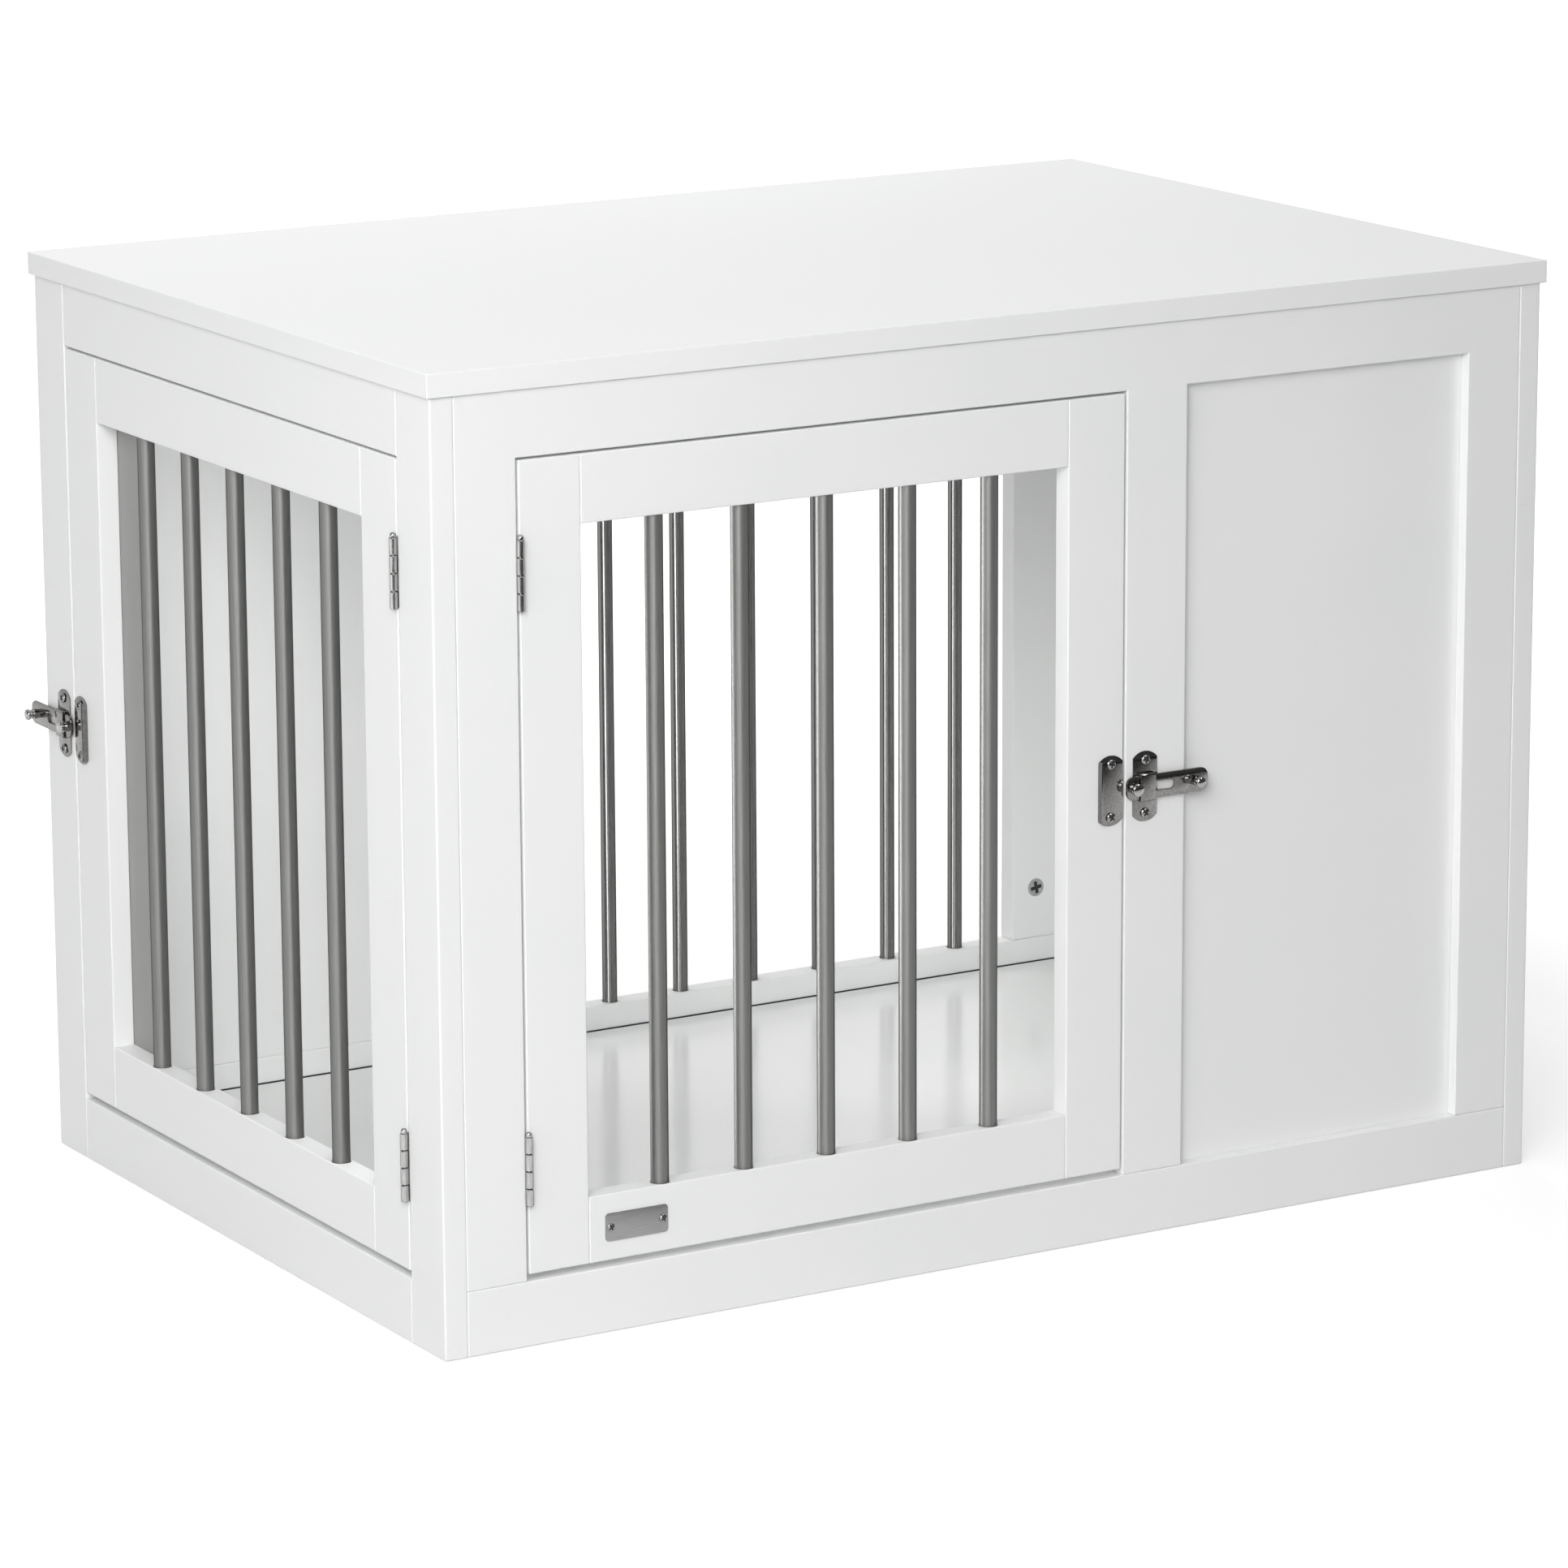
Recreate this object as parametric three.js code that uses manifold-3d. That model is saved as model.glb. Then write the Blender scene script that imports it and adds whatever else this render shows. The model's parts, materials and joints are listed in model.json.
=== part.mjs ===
// A white dog crate that is also an end table: a box of painted boards with two barred doors,
// one in its front and one in its left side, a barred back and a flat table top.
// Millimetres, +Z up, the front faces -Y. The origin is on the floor, in the middle of the body.
import * as THREE from 'three';
import { mergeVertices } from 'three/addons/utils/BufferGeometryUtils.js';
import Module from 'manifold-3d';

const wasm = await Module();
wasm.setup();

// ---------------------------------------------------------------- driving dimensions

// body and table top
const BODY_W = 820; // across the front
const BODY_D = 564; // along the side
const BODY_H = 600; // floor to the underside of the top
const TOP_T = 15;
const TOP_OVERHANG = 3; // on all four sides

// frames
const FRAME_T = 16; // posts, rails and the one-piece front and back frames
const POST_W = 44; // side posts, seen from the side
const TOP_RAIL_H = 42;
const BOTTOM_RAIL_H = 42;
const DOOR_STILE_SIDE_W = 42; // front frame: the stile that carries the hinges
const MULLION_W = 46; // front frame: between the doorway and the solid panel
const PANEL_STILE_W = 41; // front frame: beyond the solid panel
const DOORWAY_W = 439; // front frame: clear width of the doorway

// solid panels, held in grooves
const PANEL_T = 5;
const PANEL_LIP = 3; // frame left behind the panel
const PANEL_TONGUE = 6; // how far the panel reaches into its groove
const FIT = 0.3; // clearance round what is let into a groove or a socket

// floor board on two cleats
const FLOOR_T = 9;
const FLOOR_TOP = 24; // height of the floor board's upper face
const FLOOR_GAP = 1.2; // round the floor board
const CLEAT_BOTTOM = 3; // height of the cleats' lower face
const CLEAT_D = 18;

// doors
const DOOR_T = 15;
const DOOR_GAP = 1.5; // at the sides and the top
const DOOR_GAP_BOTTOM = 4.5;
const DOOR_RAIL_H = 43;
const FRONT_DOOR_STILE_W = 42.5;
const SIDE_DOOR_STILE_W = 46.5;

// steel guard plate on the inside of the side door, by its latch
const GUARD_T = 1;
const GUARD_OVERLAP = 15; // onto the stile and the rails
const GUARD_REACH = 47; // from the stile's edge towards the first bar

// steel tubes
const BAR_WALL = 1;
const BAR_SOCKET = 8; // how far a tube is let into its rail
const FRONT_BARS = { d: 11.5, count: 5, margin: 54.5 }; // margin: from the stile to the first bar's axis
const SIDE_BARS = { d: 11.5, count: 5, margin: 59.4 };
const BACK_BARS = { d: 10.5, count: 7, margin: 45.5 };
const BAR_SIDES = 20;

// butt hinges, whose knuckles stand proud of the face
const HINGE_L = 44.4;
const KNUCKLE_D = 5;
const KNUCKLE_COUNT = 4;
const KNUCKLE_GAP = 0.3; // between knuckles, and between them and the face
const PIN_D = 2.5;
const PIN_PLAY = 0.2; // radial
const PIN_HEAD_D = 4;
const PIN_HEAD_H = 3;
const LEAF_CLEARANCE = 0.3; // between the two leaves of a shut hinge
const LEAF_DEPTH = 13;
const HINGE_INSET_TOP = 47.5; // from the door's top edge to the upper hinge
const HINGE_INSET_BOTTOM = 45; // from the door's bottom edge to the lower hinge

// slide latches: u runs from the door across its gap to the frame, 0 in the gap's middle
const LATCH_PLATE_L = 46.5;
const LATCH_PLATE_T = 1.2;
const LATCH_PLATE_RISE = 4.3; // of the plates' round ends
const KEEPER_U = 1.5; // from the gap's middle to the keeper on the door
const KEEPER_LIP_H = 4.6;
const KEEPER_LIP_L = 40;
const BASE_W = 18.6;
const STRAP_W = 11.4;
const BOLT_H = 15.6;
const BOLT_T = 2;
const BOLT_CORNER_R = 5.5;
const BOLT_OVERLAP = 18.4; // how far past the gap's middle the shut bolt reaches
const BOLT_TAIL = 22.7; // how far the shut bolt reaches beyond the strap
const BOLT_CLEARANCE = 0.2; // from the gap's middle to the drawn bolt
const LATCH_PLAY = 0.3;
const GUIDE_PIN_D = 5;
const SLOT_H = 6.2;
const NEAR_KNOB = { d: 8, h: 6.5, inset: 5.4 }; // inset: from the bolt's end to the knob's middle
const FAR_KNOB = { d: 7, h: 9.5, inset: 10.5 };
const KNOB_GROOVE = 0.7;
const ROUND_SIDES = 20;

// blank plate on the front door's bottom rail
const PLATE_W = 44.5;
const PLATE_H = 18;
const PLATE_T = 1;
const PLATE_CORNER_R = 2.5;
const PLATE_FROM_EDGE = 53.5; // from the door's hinge edge

// ---------------------------------------------------------------- places worked out from them

const left = -BODY_W / 2;
const right = BODY_W / 2;
const front = -BODY_D / 2;
const back = BODY_D / 2;
const innerLeft = left + FRAME_T;
const innerRight = right - FRAME_T;
const openingTop = BODY_H - TOP_RAIL_H;
const openingBottom = BOTTOM_RAIL_H;
const panelRecess = FRAME_T - PANEL_LIP - PANEL_T; // from the frame's outer face to the panel

const doorwayLeft = innerLeft + DOOR_STILE_SIDE_W;
const doorwayRight = doorwayLeft + DOORWAY_W;
const panelLeft = doorwayRight + MULLION_W;
const panelRight = innerRight - PANEL_STILE_W;

const doorBottom = openingBottom + DOOR_GAP_BOTTOM;
const doorTop = openingTop - DOOR_GAP;

// ---------------------------------------------------------------- finishes

const white = new THREE.MeshStandardMaterial({ color: 0xe8e9e7, roughness: 0.42, metalness: 0 });
const barSteel = new THREE.MeshStandardMaterial({ color: 0x7d7f7e, roughness: 0.35, metalness: 1 });
const hingeSteel = new THREE.MeshStandardMaterial({ color: 0x9a9c9b, roughness: 0.3, metalness: 1 });
const latchNickel = new THREE.MeshStandardMaterial({ color: 0x6f706f, roughness: 0.22, metalness: 1 });
const plateMetal = new THREE.MeshStandardMaterial({ color: 0x9b9d9c, roughness: 0.4, metalness: 1 });

// ---------------------------------------------------------------- shaping helpers

// A three.js geometry as a solid that can be cut and joined.
function toSolid(geometry) {
  const bare = geometry.clone();
  bare.deleteAttribute('normal');
  bare.deleteAttribute('uv');
  const merged = mergeVertices(bare, 1e-4);
  return new wasm.Manifold(new wasm.Mesh({
    numProp: 3,
    vertProperties: new Float32Array(merged.attributes.position.array),
    triVerts: new Uint32Array(merged.index.array),
  }));
}

function toGeometry(solid) {
  const mesh = solid.getMesh();
  const geometry = new THREE.BufferGeometry();
  geometry.setAttribute('position', new THREE.BufferAttribute(mesh.vertProperties, 3));
  geometry.setIndex(new THREE.BufferAttribute(mesh.triVerts, 1));
  geometry.computeVertexNormals();
  return geometry;
}

function cut(geometry, ...tools) {
  return toGeometry(tools.reduce((solid, tool) => solid.subtract(toSolid(tool)), toSolid(geometry)));
}

function join(geometry, ...others) {
  return toGeometry(others.reduce((solid, other) => solid.add(toSolid(other)), toSolid(geometry)));
}

// A square-edged block between two corners.
function block([x0, x1], [y0, y1], [z0, z1]) {
  const geometry = new THREE.BoxGeometry(x1 - x0, y1 - y0, z1 - z0);
  return geometry.translate((x0 + x1) / 2, (y0 + y1) / 2, (z0 + z1) / 2);
}

// The same block, larger all round by a clearance: the groove that it sits in.
function roomFor([x0, x1], [y0, y1], [z0, z1], gap) {
  return block([x0 - gap, x1 + gap], [y0 - gap, y1 + gap], [z0 - gap, z1 + gap]);
}

// An outline drawn in x and z, made a plate that runs from y0 to y1.
function plate(shape, y0, y1, curveSegments = 8) {
  const geometry = new THREE.ExtrudeGeometry(shape, { depth: y1 - y0, bevelEnabled: false, curveSegments });
  return geometry.rotateX(Math.PI / 2).translate(0, y1, 0);
}

// An upright cylinder.
function post(diameter, x, y, z0, z1, sides = ROUND_SIDES) {
  const geometry = new THREE.CylinderGeometry(diameter / 2, diameter / 2, z1 - z0, sides);
  return geometry.rotateX(Math.PI / 2).translate(x, y, (z0 + z1) / 2);
}

// An upright tube, open at both ends.
function tube(diameter, wall, x, y, z0, z1) {
  const outer = diameter / 2;
  const inner = outer - wall;
  const length = z1 - z0;
  const profile = [[inner, 0], [outer, 0], [outer, length], [inner, length], [inner, 0]];
  const points = profile.map(([r, h]) => new THREE.Vector2(r, h));
  return new THREE.LatheGeometry(points, BAR_SIDES).rotateX(Math.PI / 2).translate(x, y, z0);
}

// A round piece that stands out of the face along -y, from a profile of [radius, height] pairs.
function stud(profile, x) {
  const points = profile.map(([r, h]) => new THREE.Vector2(r, h));
  return new THREE.LatheGeometry(points, ROUND_SIDES).rotateX(Math.PI).translate(x, 0, 0);
}

// Where the bars stand in an opening, evenly spaced.
function barPlaces({ count, margin }, openLeft, openRight) {
  const pitch = (openRight - openLeft - 2 * margin) / (count - 1);
  return Array.from({ length: count }, (_, i) => openLeft + margin + i * pitch);
}

// Sockets for bars, let into a rail's edge at z, upwards or downwards.
function sockets(xs, diameter, y, z, direction) {
  const mouth = z - direction;
  const end = z + direction * (BAR_SOCKET + FIT);
  return xs.map((x) => post(diameter + 2 * FIT, x, y, Math.min(mouth, end), Math.max(mouth, end), BAR_SIDES));
}

function add(group, name, geometry, material) {
  const mesh = new THREE.Mesh(geometry, material);
  mesh.name = name;
  group.add(mesh);
  return mesh;
}

const crate = new THREE.Group();

// ---------------------------------------------------------------- table top

add(crate, 'table_top', block(
  [left - TOP_OVERHANG, right + TOP_OVERHANG],
  [front - TOP_OVERHANG, back + TOP_OVERHANG],
  [BODY_H, BODY_H + TOP_T],
), white);

// ---------------------------------------------------------------- side frames

// Two posts that stand on the floor, with a rail between them at the top and at the bottom.
function sideFrame(side, outer, inner, panelX) {
  const x = [Math.min(outer, inner), Math.max(outer, inner)];
  const openFront = front + POST_W;
  const openBack = back - POST_W;
  const panelY = [openFront - PANEL_TONGUE, openBack + PANEL_TONGUE];
  const panelZ = [openingBottom - PANEL_TONGUE, openingTop + PANEL_TONGUE];
  const grooves = panelX ? [roomFor(panelX, panelY, panelZ, FIT)] : [];
  const board = (piece, y, z) => add(crate, `${side}_${piece}`, cut(block(x, y, z), ...grooves), white);
  board('front_post', [front, openFront], [0, BODY_H]);
  board('rear_post', [openBack, back], [0, BODY_H]);
  board('top_rail', [openFront, openBack], [openingTop, BODY_H]);
  board('bottom_rail', [openFront, openBack], [0, BOTTOM_RAIL_H]);
  if (panelX) add(crate, `${side}_panel`, block(panelX, panelY, panelZ), white);
}

sideFrame('left', left, innerLeft, null);
sideFrame('right', right, innerRight, [right - panelRecess - PANEL_T, right - panelRecess]);

// ---------------------------------------------------------------- front and back walls

// One board, sawn out to a top rail with three legs: hinge stile, mullion and panel stile.
function combOutline() {
  const shape = new THREE.Shape();
  const legs = [[innerLeft, doorwayLeft], [doorwayRight, panelLeft], [panelRight, innerRight]];
  shape.moveTo(innerLeft, BODY_H);
  legs.forEach(([from, to]) => {
    if (from !== innerLeft) shape.lineTo(from, openingTop);
    shape.lineTo(from, openingBottom);
    shape.lineTo(to, openingBottom);
    if (to !== innerRight) shape.lineTo(to, openingTop);
  });
  shape.lineTo(innerRight, BODY_H);
  shape.closePath();
  return shape;
}

// The frame on its bottom rail, with the solid panel in a groove round its opening. In the wall's
// own frame x runs along the wall and y inwards from its outer face.
function wall(name, bars) {
  const group = new THREE.Group();
  const panelX = [panelLeft - PANEL_TONGUE, panelRight + PANEL_TONGUE];
  const panelY = [panelRecess, panelRecess + PANEL_T];
  const panelZ = [openingBottom - PANEL_TONGUE, openingTop + PANEL_TONGUE];
  const groove = roomFor(panelX, panelY, panelZ, FIT);
  const rail = block([innerLeft, innerRight], [0, FRAME_T], [0, BOTTOM_RAIL_H]);
  const y = FRAME_T / 2;
  const xs = bars ? barPlaces(bars, doorwayLeft, doorwayRight) : [];
  const topSockets = sockets(xs, bars?.d, y, openingTop, 1);
  const bottomSockets = sockets(xs, bars?.d, y, openingBottom, -1);
  add(group, `${name}_frame`, cut(plate(combOutline(), 0, FRAME_T), groove, ...topSockets), white);
  add(group, `${name}_bottom_rail`, cut(rail, groove, ...bottomSockets), white);
  add(group, `${name}_panel`, block(panelX, panelY, panelZ), white);
  xs.forEach((x, i) => {
    const bar = tube(bars.d, BAR_WALL, x, y, openingBottom - BAR_SOCKET, openingTop + BAR_SOCKET);
    add(group, `${name}_bar_${i + 1}`, bar, barSteel);
  });
  crate.add(group);
  return group;
}

const frontWall = wall('front', null);
frontWall.position.y = front;

// The back is the front's frame turned half round, with bars in place of the door.
const backWall = wall('back', BACK_BARS);
backWall.rotation.z = Math.PI;
backWall.position.y = back;

// The left side's door hangs in a frame whose x runs forwards along the side.
const leftWall = new THREE.Group();
leftWall.rotation.z = -Math.PI / 2;
leftWall.position.x = left;
crate.add(leftWall);

// ---------------------------------------------------------------- floor

const floorBottom = FLOOR_TOP - FLOOR_T;
const insideFront = front + FRAME_T;
const insideBack = back - FRAME_T;
add(crate, 'floor_panel', block(
  [innerLeft + FLOOR_GAP, innerRight - FLOOR_GAP],
  [insideFront + FLOOR_GAP, insideBack - FLOOR_GAP],
  [floorBottom, FLOOR_TOP],
), white);
const cleatX = [innerLeft + FLOOR_GAP, innerRight - FLOOR_GAP];
const cleatZ = [CLEAT_BOTTOM, floorBottom];
add(crate, 'front_floor_cleat', block(cleatX, [insideFront, insideFront + CLEAT_D], cleatZ), white);
add(crate, 'back_floor_cleat', block(cleatX, [insideBack - CLEAT_D, insideBack], cleatZ), white);

// ---------------------------------------------------------------- doors

// Two stiles over the full height, a rail between them at each end, and bars let into the rails.
function door(group, name, x0, x1, stileW, bars) {
  const y = [0, DOOR_T];
  const middle = DOOR_T / 2;
  const openX = [x0 + stileW, x1 - stileW];
  const openZ = [doorBottom + DOOR_RAIL_H, doorTop - DOOR_RAIL_H];
  const xs = barPlaces(bars, ...openX);
  const topRail = block(openX, y, [openZ[1], doorTop]);
  const bottomRail = block(openX, y, [doorBottom, openZ[0]]);
  add(group, `${name}_left_stile`, block([x0, openX[0]], y, [doorBottom, doorTop]), white);
  add(group, `${name}_right_stile`, block([openX[1], x1], y, [doorBottom, doorTop]), white);
  add(group, `${name}_top_rail`, cut(topRail, ...sockets(xs, bars.d, middle, openZ[1], 1)), white);
  add(group, `${name}_bottom_rail`, cut(bottomRail, ...sockets(xs, bars.d, middle, openZ[0], -1)), white);
  xs.forEach((x, i) => {
    const bar = tube(bars.d, BAR_WALL, x, middle, openZ[0] - BAR_SOCKET, openZ[1] + BAR_SOCKET);
    add(group, `${name}_bar_${i + 1}`, bar, barSteel);
  });
}

const frontDoorLeft = doorwayLeft + DOOR_GAP;
const frontDoorRight = doorwayRight - DOOR_GAP;
const sideDoorHalf = BODY_D / 2 - POST_W - DOOR_GAP;
door(frontWall, 'front_door', frontDoorLeft, frontDoorRight, FRONT_DOOR_STILE_W, FRONT_BARS);
door(leftWall, 'side_door', -sideDoorHalf, sideDoorHalf, SIDE_DOOR_STILE_W, SIDE_BARS);

const guardX = -sideDoorHalf + SIDE_DOOR_STILE_W;
add(leftWall, 'side_door_guard', block(
  [guardX - GUARD_OVERLAP, guardX + GUARD_REACH],
  [DOOR_T, DOOR_T + GUARD_T],
  [doorBottom + DOOR_RAIL_H - GUARD_OVERLAP, doorTop - DOOR_RAIL_H + GUARD_OVERLAP],
), barSteel);

// ---------------------------------------------------------------- hinges

// One leaf lies on the frame's edge and one on the door's edge, in the gap between them, and each
// curls into every second knuckle. The pin is fixed in the frame leaf's knuckles.
function hinge(group, name, gapX, doorSide, z0) {
  const top = z0 + HINGE_L;
  const pitch = HINGE_L / KNUCKLE_COUNT;
  const axisY = -KNUCKLE_D / 2 - KNUCKLE_GAP;
  const leaf = (side, firstKnuckle) => {
    const near = gapX + side * LEAF_CLEARANCE / 2;
    const far = gapX + side * DOOR_GAP / 2;
    const x = [Math.min(near, far), Math.max(near, far)];
    const knuckles = [];
    for (let i = firstKnuckle; i < KNUCKLE_COUNT; i += 2) {
      const z = [z0 + i * pitch + KNUCKLE_GAP / 2, z0 + (i + 1) * pitch - KNUCKLE_GAP / 2];
      knuckles.push(post(KNUCKLE_D, gapX, axisY, ...z));
      knuckles.push(block(x, [axisY, KNUCKLE_GAP], z));
    }
    return join(block(x, [0, LEAF_DEPTH], [z0, top]), ...knuckles);
  };
  const pin = post(PIN_D, gapX, axisY, z0, top);
  const head = post(PIN_HEAD_D, gapX, axisY, top - KNUCKLE_GAP, top + PIN_HEAD_H);
  const bore = post(PIN_D + 2 * PIN_PLAY, gapX, axisY, z0 - PIN_PLAY, top + PIN_PLAY);
  add(group, `${name}_frame_leaf`, join(leaf(-doorSide, 1), pin, head), hingeSteel);
  add(group, `${name}_door_leaf`, cut(leaf(doorSide, 0), bore), hingeSteel);
}

const upperHinge = doorTop - HINGE_INSET_TOP - HINGE_L;
const lowerHinge = doorBottom + HINGE_INSET_BOTTOM;
const frontHingeX = frontDoorLeft - DOOR_GAP / 2;
const sideHingeX = sideDoorHalf + DOOR_GAP / 2;
hinge(frontWall, 'front_door_upper_hinge', frontHingeX, 1, upperHinge);
hinge(frontWall, 'front_door_lower_hinge', frontHingeX, 1, lowerHinge);
hinge(leftWall, 'side_door_upper_hinge', sideHingeX, -1, upperHinge);
hinge(leftWall, 'side_door_lower_hinge', sideHingeX, -1, lowerHinge);

// ---------------------------------------------------------------- slide latches

// A plate that stands upright between u0 and u1, with ends that rise to the middle in an arc.
function roundEndedOutline(u0, u1, length, rise) {
  const middle = (u0 + u1) / 2;
  const half = (u1 - u0) / 2;
  const radius = (half * half + rise * rise) / (2 * rise);
  const sweep = Math.asin(half / radius);
  const centre = length / 2 - radius;
  const shape = new THREE.Shape();
  shape.absarc(middle, centre, radius, Math.PI / 2 - sweep, Math.PI / 2 + sweep, false);
  shape.absarc(middle, -centre, radius, 1.5 * Math.PI - sweep, 1.5 * Math.PI + sweep, false);
  shape.closePath();
  return shape;
}

// A rectangle with rounded corners.
function roundedOutline([x0, x1], [z0, z1], r) {
  const shape = new THREE.Shape();
  shape.absarc(x1 - r, z0 + r, r, 1.5 * Math.PI, 2 * Math.PI, false);
  shape.absarc(x1 - r, z1 - r, r, 0, Math.PI / 2, false);
  shape.absarc(x0 + r, z1 - r, r, Math.PI / 2, Math.PI, false);
  shape.absarc(x0 + r, z0 + r, r, Math.PI, 1.5 * Math.PI, false);
  shape.closePath();
  return shape;
}

// A knob with a groove half way up and a chamfered head, on the bolt's outer face.
function knob({ d, h }, u, face) {
  const r = d / 2;
  const neck = r - KNOB_GROOVE;
  const root = face - BOLT_T / 2;
  const top = face + h;
  const middle = face + h / 2;
  return stud([
    [0, root], [r, root],
    [r, middle], [neck, middle], [neck, middle + KNOB_GROOVE], [r, middle + KNOB_GROOVE],
    [r, top - KNOB_GROOVE], [neck, top], [0, top],
  ], u);
}

// In the latch's own frame x is u, y runs inwards from the face, and 0 is the latch's middle height.
function latch(group, name, gapX, turn) {
  const assembly = new THREE.Group();
  assembly.position.set(gapX, 0, BODY_H / 2);
  assembly.rotation.y = turn;
  const boltBack = LATCH_PLATE_T + LATCH_PLAY;
  const boltFace = boltBack + BOLT_T;

  // keeper on the door: a plate with a lip that stops the bolt
  const lipInside = -BOLT_OVERLAP - LATCH_PLAY;
  const lipOutside = lipInside - LATCH_PLATE_T;
  const keeperOutline = roundEndedOutline(lipOutside, -KEEPER_U, LATCH_PLATE_L, LATCH_PLATE_RISE);
  const lip = block([lipOutside, lipInside], [-KEEPER_LIP_H, 0], [-KEEPER_LIP_L / 2, KEEPER_LIP_L / 2]);
  add(assembly, `${name}_keeper`, join(plate(keeperOutline, -LATCH_PLATE_T, 0), lip), latchNickel);

  // base on the frame: a plate, a strap that the bolt slides under and a pin in the bolt's slot
  const strapU = BOLT_CLEARANCE + NEAR_KNOB.inset + NEAR_KNOB.d / 2 + LATCH_PLAY;
  const strapMiddle = strapU + STRAP_W / 2;
  const strapX = [strapU, strapU + STRAP_W];
  const strapY = [-boltFace - LATCH_PLAY - LATCH_PLATE_T, -boltFace - LATCH_PLAY];
  const legZ = [BOLT_H / 2 + LATCH_PLAY, BOLT_H / 2 + LATCH_PLAY + LATCH_PLATE_T];
  const baseOutline = roundEndedOutline(
    strapMiddle - BASE_W / 2,
    strapMiddle + BASE_W / 2,
    LATCH_PLATE_L,
    LATCH_PLATE_RISE,
  );
  const strap = block(strapX, strapY, [-legZ[1], legZ[1]]);
  const legs = [[-legZ[1], -legZ[0]], legZ].map((z) => block(strapX, [strapY[0], 0], z));
  const pinR = GUIDE_PIN_D / 2;
  const pin = stud([[0, 0], [pinR, 0], [pinR, boltFace], [0, boltFace]], strapMiddle);
  const base = join(plate(baseOutline, -LATCH_PLATE_T, 0), strap, ...legs, pin);
  add(assembly, `${name}_base`, base, latchNickel);

  // bolt, drawn back clear of the door: the pin is at its slot's near end
  const travel = BOLT_OVERLAP + BOLT_CLEARANCE;
  const boltEnd = strapX[1] + BOLT_TAIL + travel;
  const outline = roundedOutline([BOLT_CLEARANCE, boltEnd], [-BOLT_H / 2, BOLT_H / 2], BOLT_CORNER_R);
  const slotX = [strapMiddle - pinR - LATCH_PLAY, strapMiddle + pinR + LATCH_PLAY + travel];
  outline.holes.push(roundedOutline(slotX, [-SLOT_H / 2, SLOT_H / 2], SLOT_H / 2));
  const strip = plate(outline, -boltFace, -boltBack);
  const nearKnob = knob(NEAR_KNOB, BOLT_CLEARANCE + NEAR_KNOB.inset, boltFace);
  const farKnob = knob(FAR_KNOB, boltEnd - FAR_KNOB.inset, boltFace);
  add(assembly, `${name}_bolt`, join(strip, nearKnob, farKnob), latchNickel);
  group.add(assembly);
}

latch(frontWall, 'front_latch', frontDoorRight + DOOR_GAP / 2, 0);
latch(leftWall, 'side_latch', -sideDoorHalf - DOOR_GAP / 2, Math.PI);

// ---------------------------------------------------------------- blank plate

const plateX = frontDoorLeft + PLATE_FROM_EDGE;
const plateZ = doorBottom + DOOR_RAIL_H / 2;
const plateOutline = roundedOutline(
  [plateX, plateX + PLATE_W],
  [plateZ - PLATE_H / 2, plateZ + PLATE_H / 2],
  PLATE_CORNER_R,
);
add(frontWall, 'name_plate', plate(plateOutline, -PLATE_T, 0), plateMetal);

export default crate;
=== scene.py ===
# A white dog crate that is also an end table, with barred doors in its front and its left side.
import json
import math

import bmesh
import bpy
from mathutils import Matrix, Vector

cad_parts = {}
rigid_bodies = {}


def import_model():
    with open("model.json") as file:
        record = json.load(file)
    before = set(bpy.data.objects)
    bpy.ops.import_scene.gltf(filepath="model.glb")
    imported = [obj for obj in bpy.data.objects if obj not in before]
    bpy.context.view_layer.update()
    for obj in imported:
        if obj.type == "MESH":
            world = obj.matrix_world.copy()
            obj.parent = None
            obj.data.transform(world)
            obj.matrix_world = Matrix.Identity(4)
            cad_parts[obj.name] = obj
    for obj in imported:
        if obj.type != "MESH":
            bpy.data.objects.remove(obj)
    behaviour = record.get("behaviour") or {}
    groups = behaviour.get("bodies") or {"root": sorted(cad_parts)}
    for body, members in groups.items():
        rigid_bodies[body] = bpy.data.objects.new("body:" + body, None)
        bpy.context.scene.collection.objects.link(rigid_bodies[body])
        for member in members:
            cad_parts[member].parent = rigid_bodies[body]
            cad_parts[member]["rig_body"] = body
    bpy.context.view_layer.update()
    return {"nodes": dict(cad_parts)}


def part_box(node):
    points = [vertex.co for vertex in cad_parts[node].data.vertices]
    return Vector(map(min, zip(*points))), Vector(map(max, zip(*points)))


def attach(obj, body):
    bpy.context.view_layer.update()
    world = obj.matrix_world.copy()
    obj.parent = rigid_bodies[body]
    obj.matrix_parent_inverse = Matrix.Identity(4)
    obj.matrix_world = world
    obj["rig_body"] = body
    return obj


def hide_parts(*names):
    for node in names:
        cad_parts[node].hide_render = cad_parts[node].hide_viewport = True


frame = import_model()
MM = 0.001
bpy.context.scene.view_settings.view_transform = "Standard"


# ---------------------------------------------------------------- camera
# The photograph's viewpoint, fitted to the crate's corners: 4.6 m away, off the front left
# corner and a little above the top, through a long lens.
CAMERA_PLACE = (-2.2268, -3.7724, 1.2879)
CAMERA_YAW = math.radians(30.552)  # from +Y towards +X
CAMERA_PITCH = math.radians(13.236)  # downwards
CAMERA_ROLL = math.radians(-0.296)
CAMERA_LENS = 154.04
CLIP_END = 50

camera = bpy.data.objects.new("camera", bpy.data.cameras.new("camera"))
camera.data.lens = CAMERA_LENS
camera.data.clip_end = CLIP_END
camera.matrix_world = (
    Matrix.Translation(CAMERA_PLACE)
    @ Matrix.Rotation(-CAMERA_YAW, 4, "Z")
    @ Matrix.Rotation(math.pi / 2 - CAMERA_PITCH, 4, "X")
    @ Matrix.Rotation(CAMERA_ROLL, 4, "Z")
)
bpy.context.scene.collection.objects.link(camera)
bpy.context.scene.camera = camera


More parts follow.
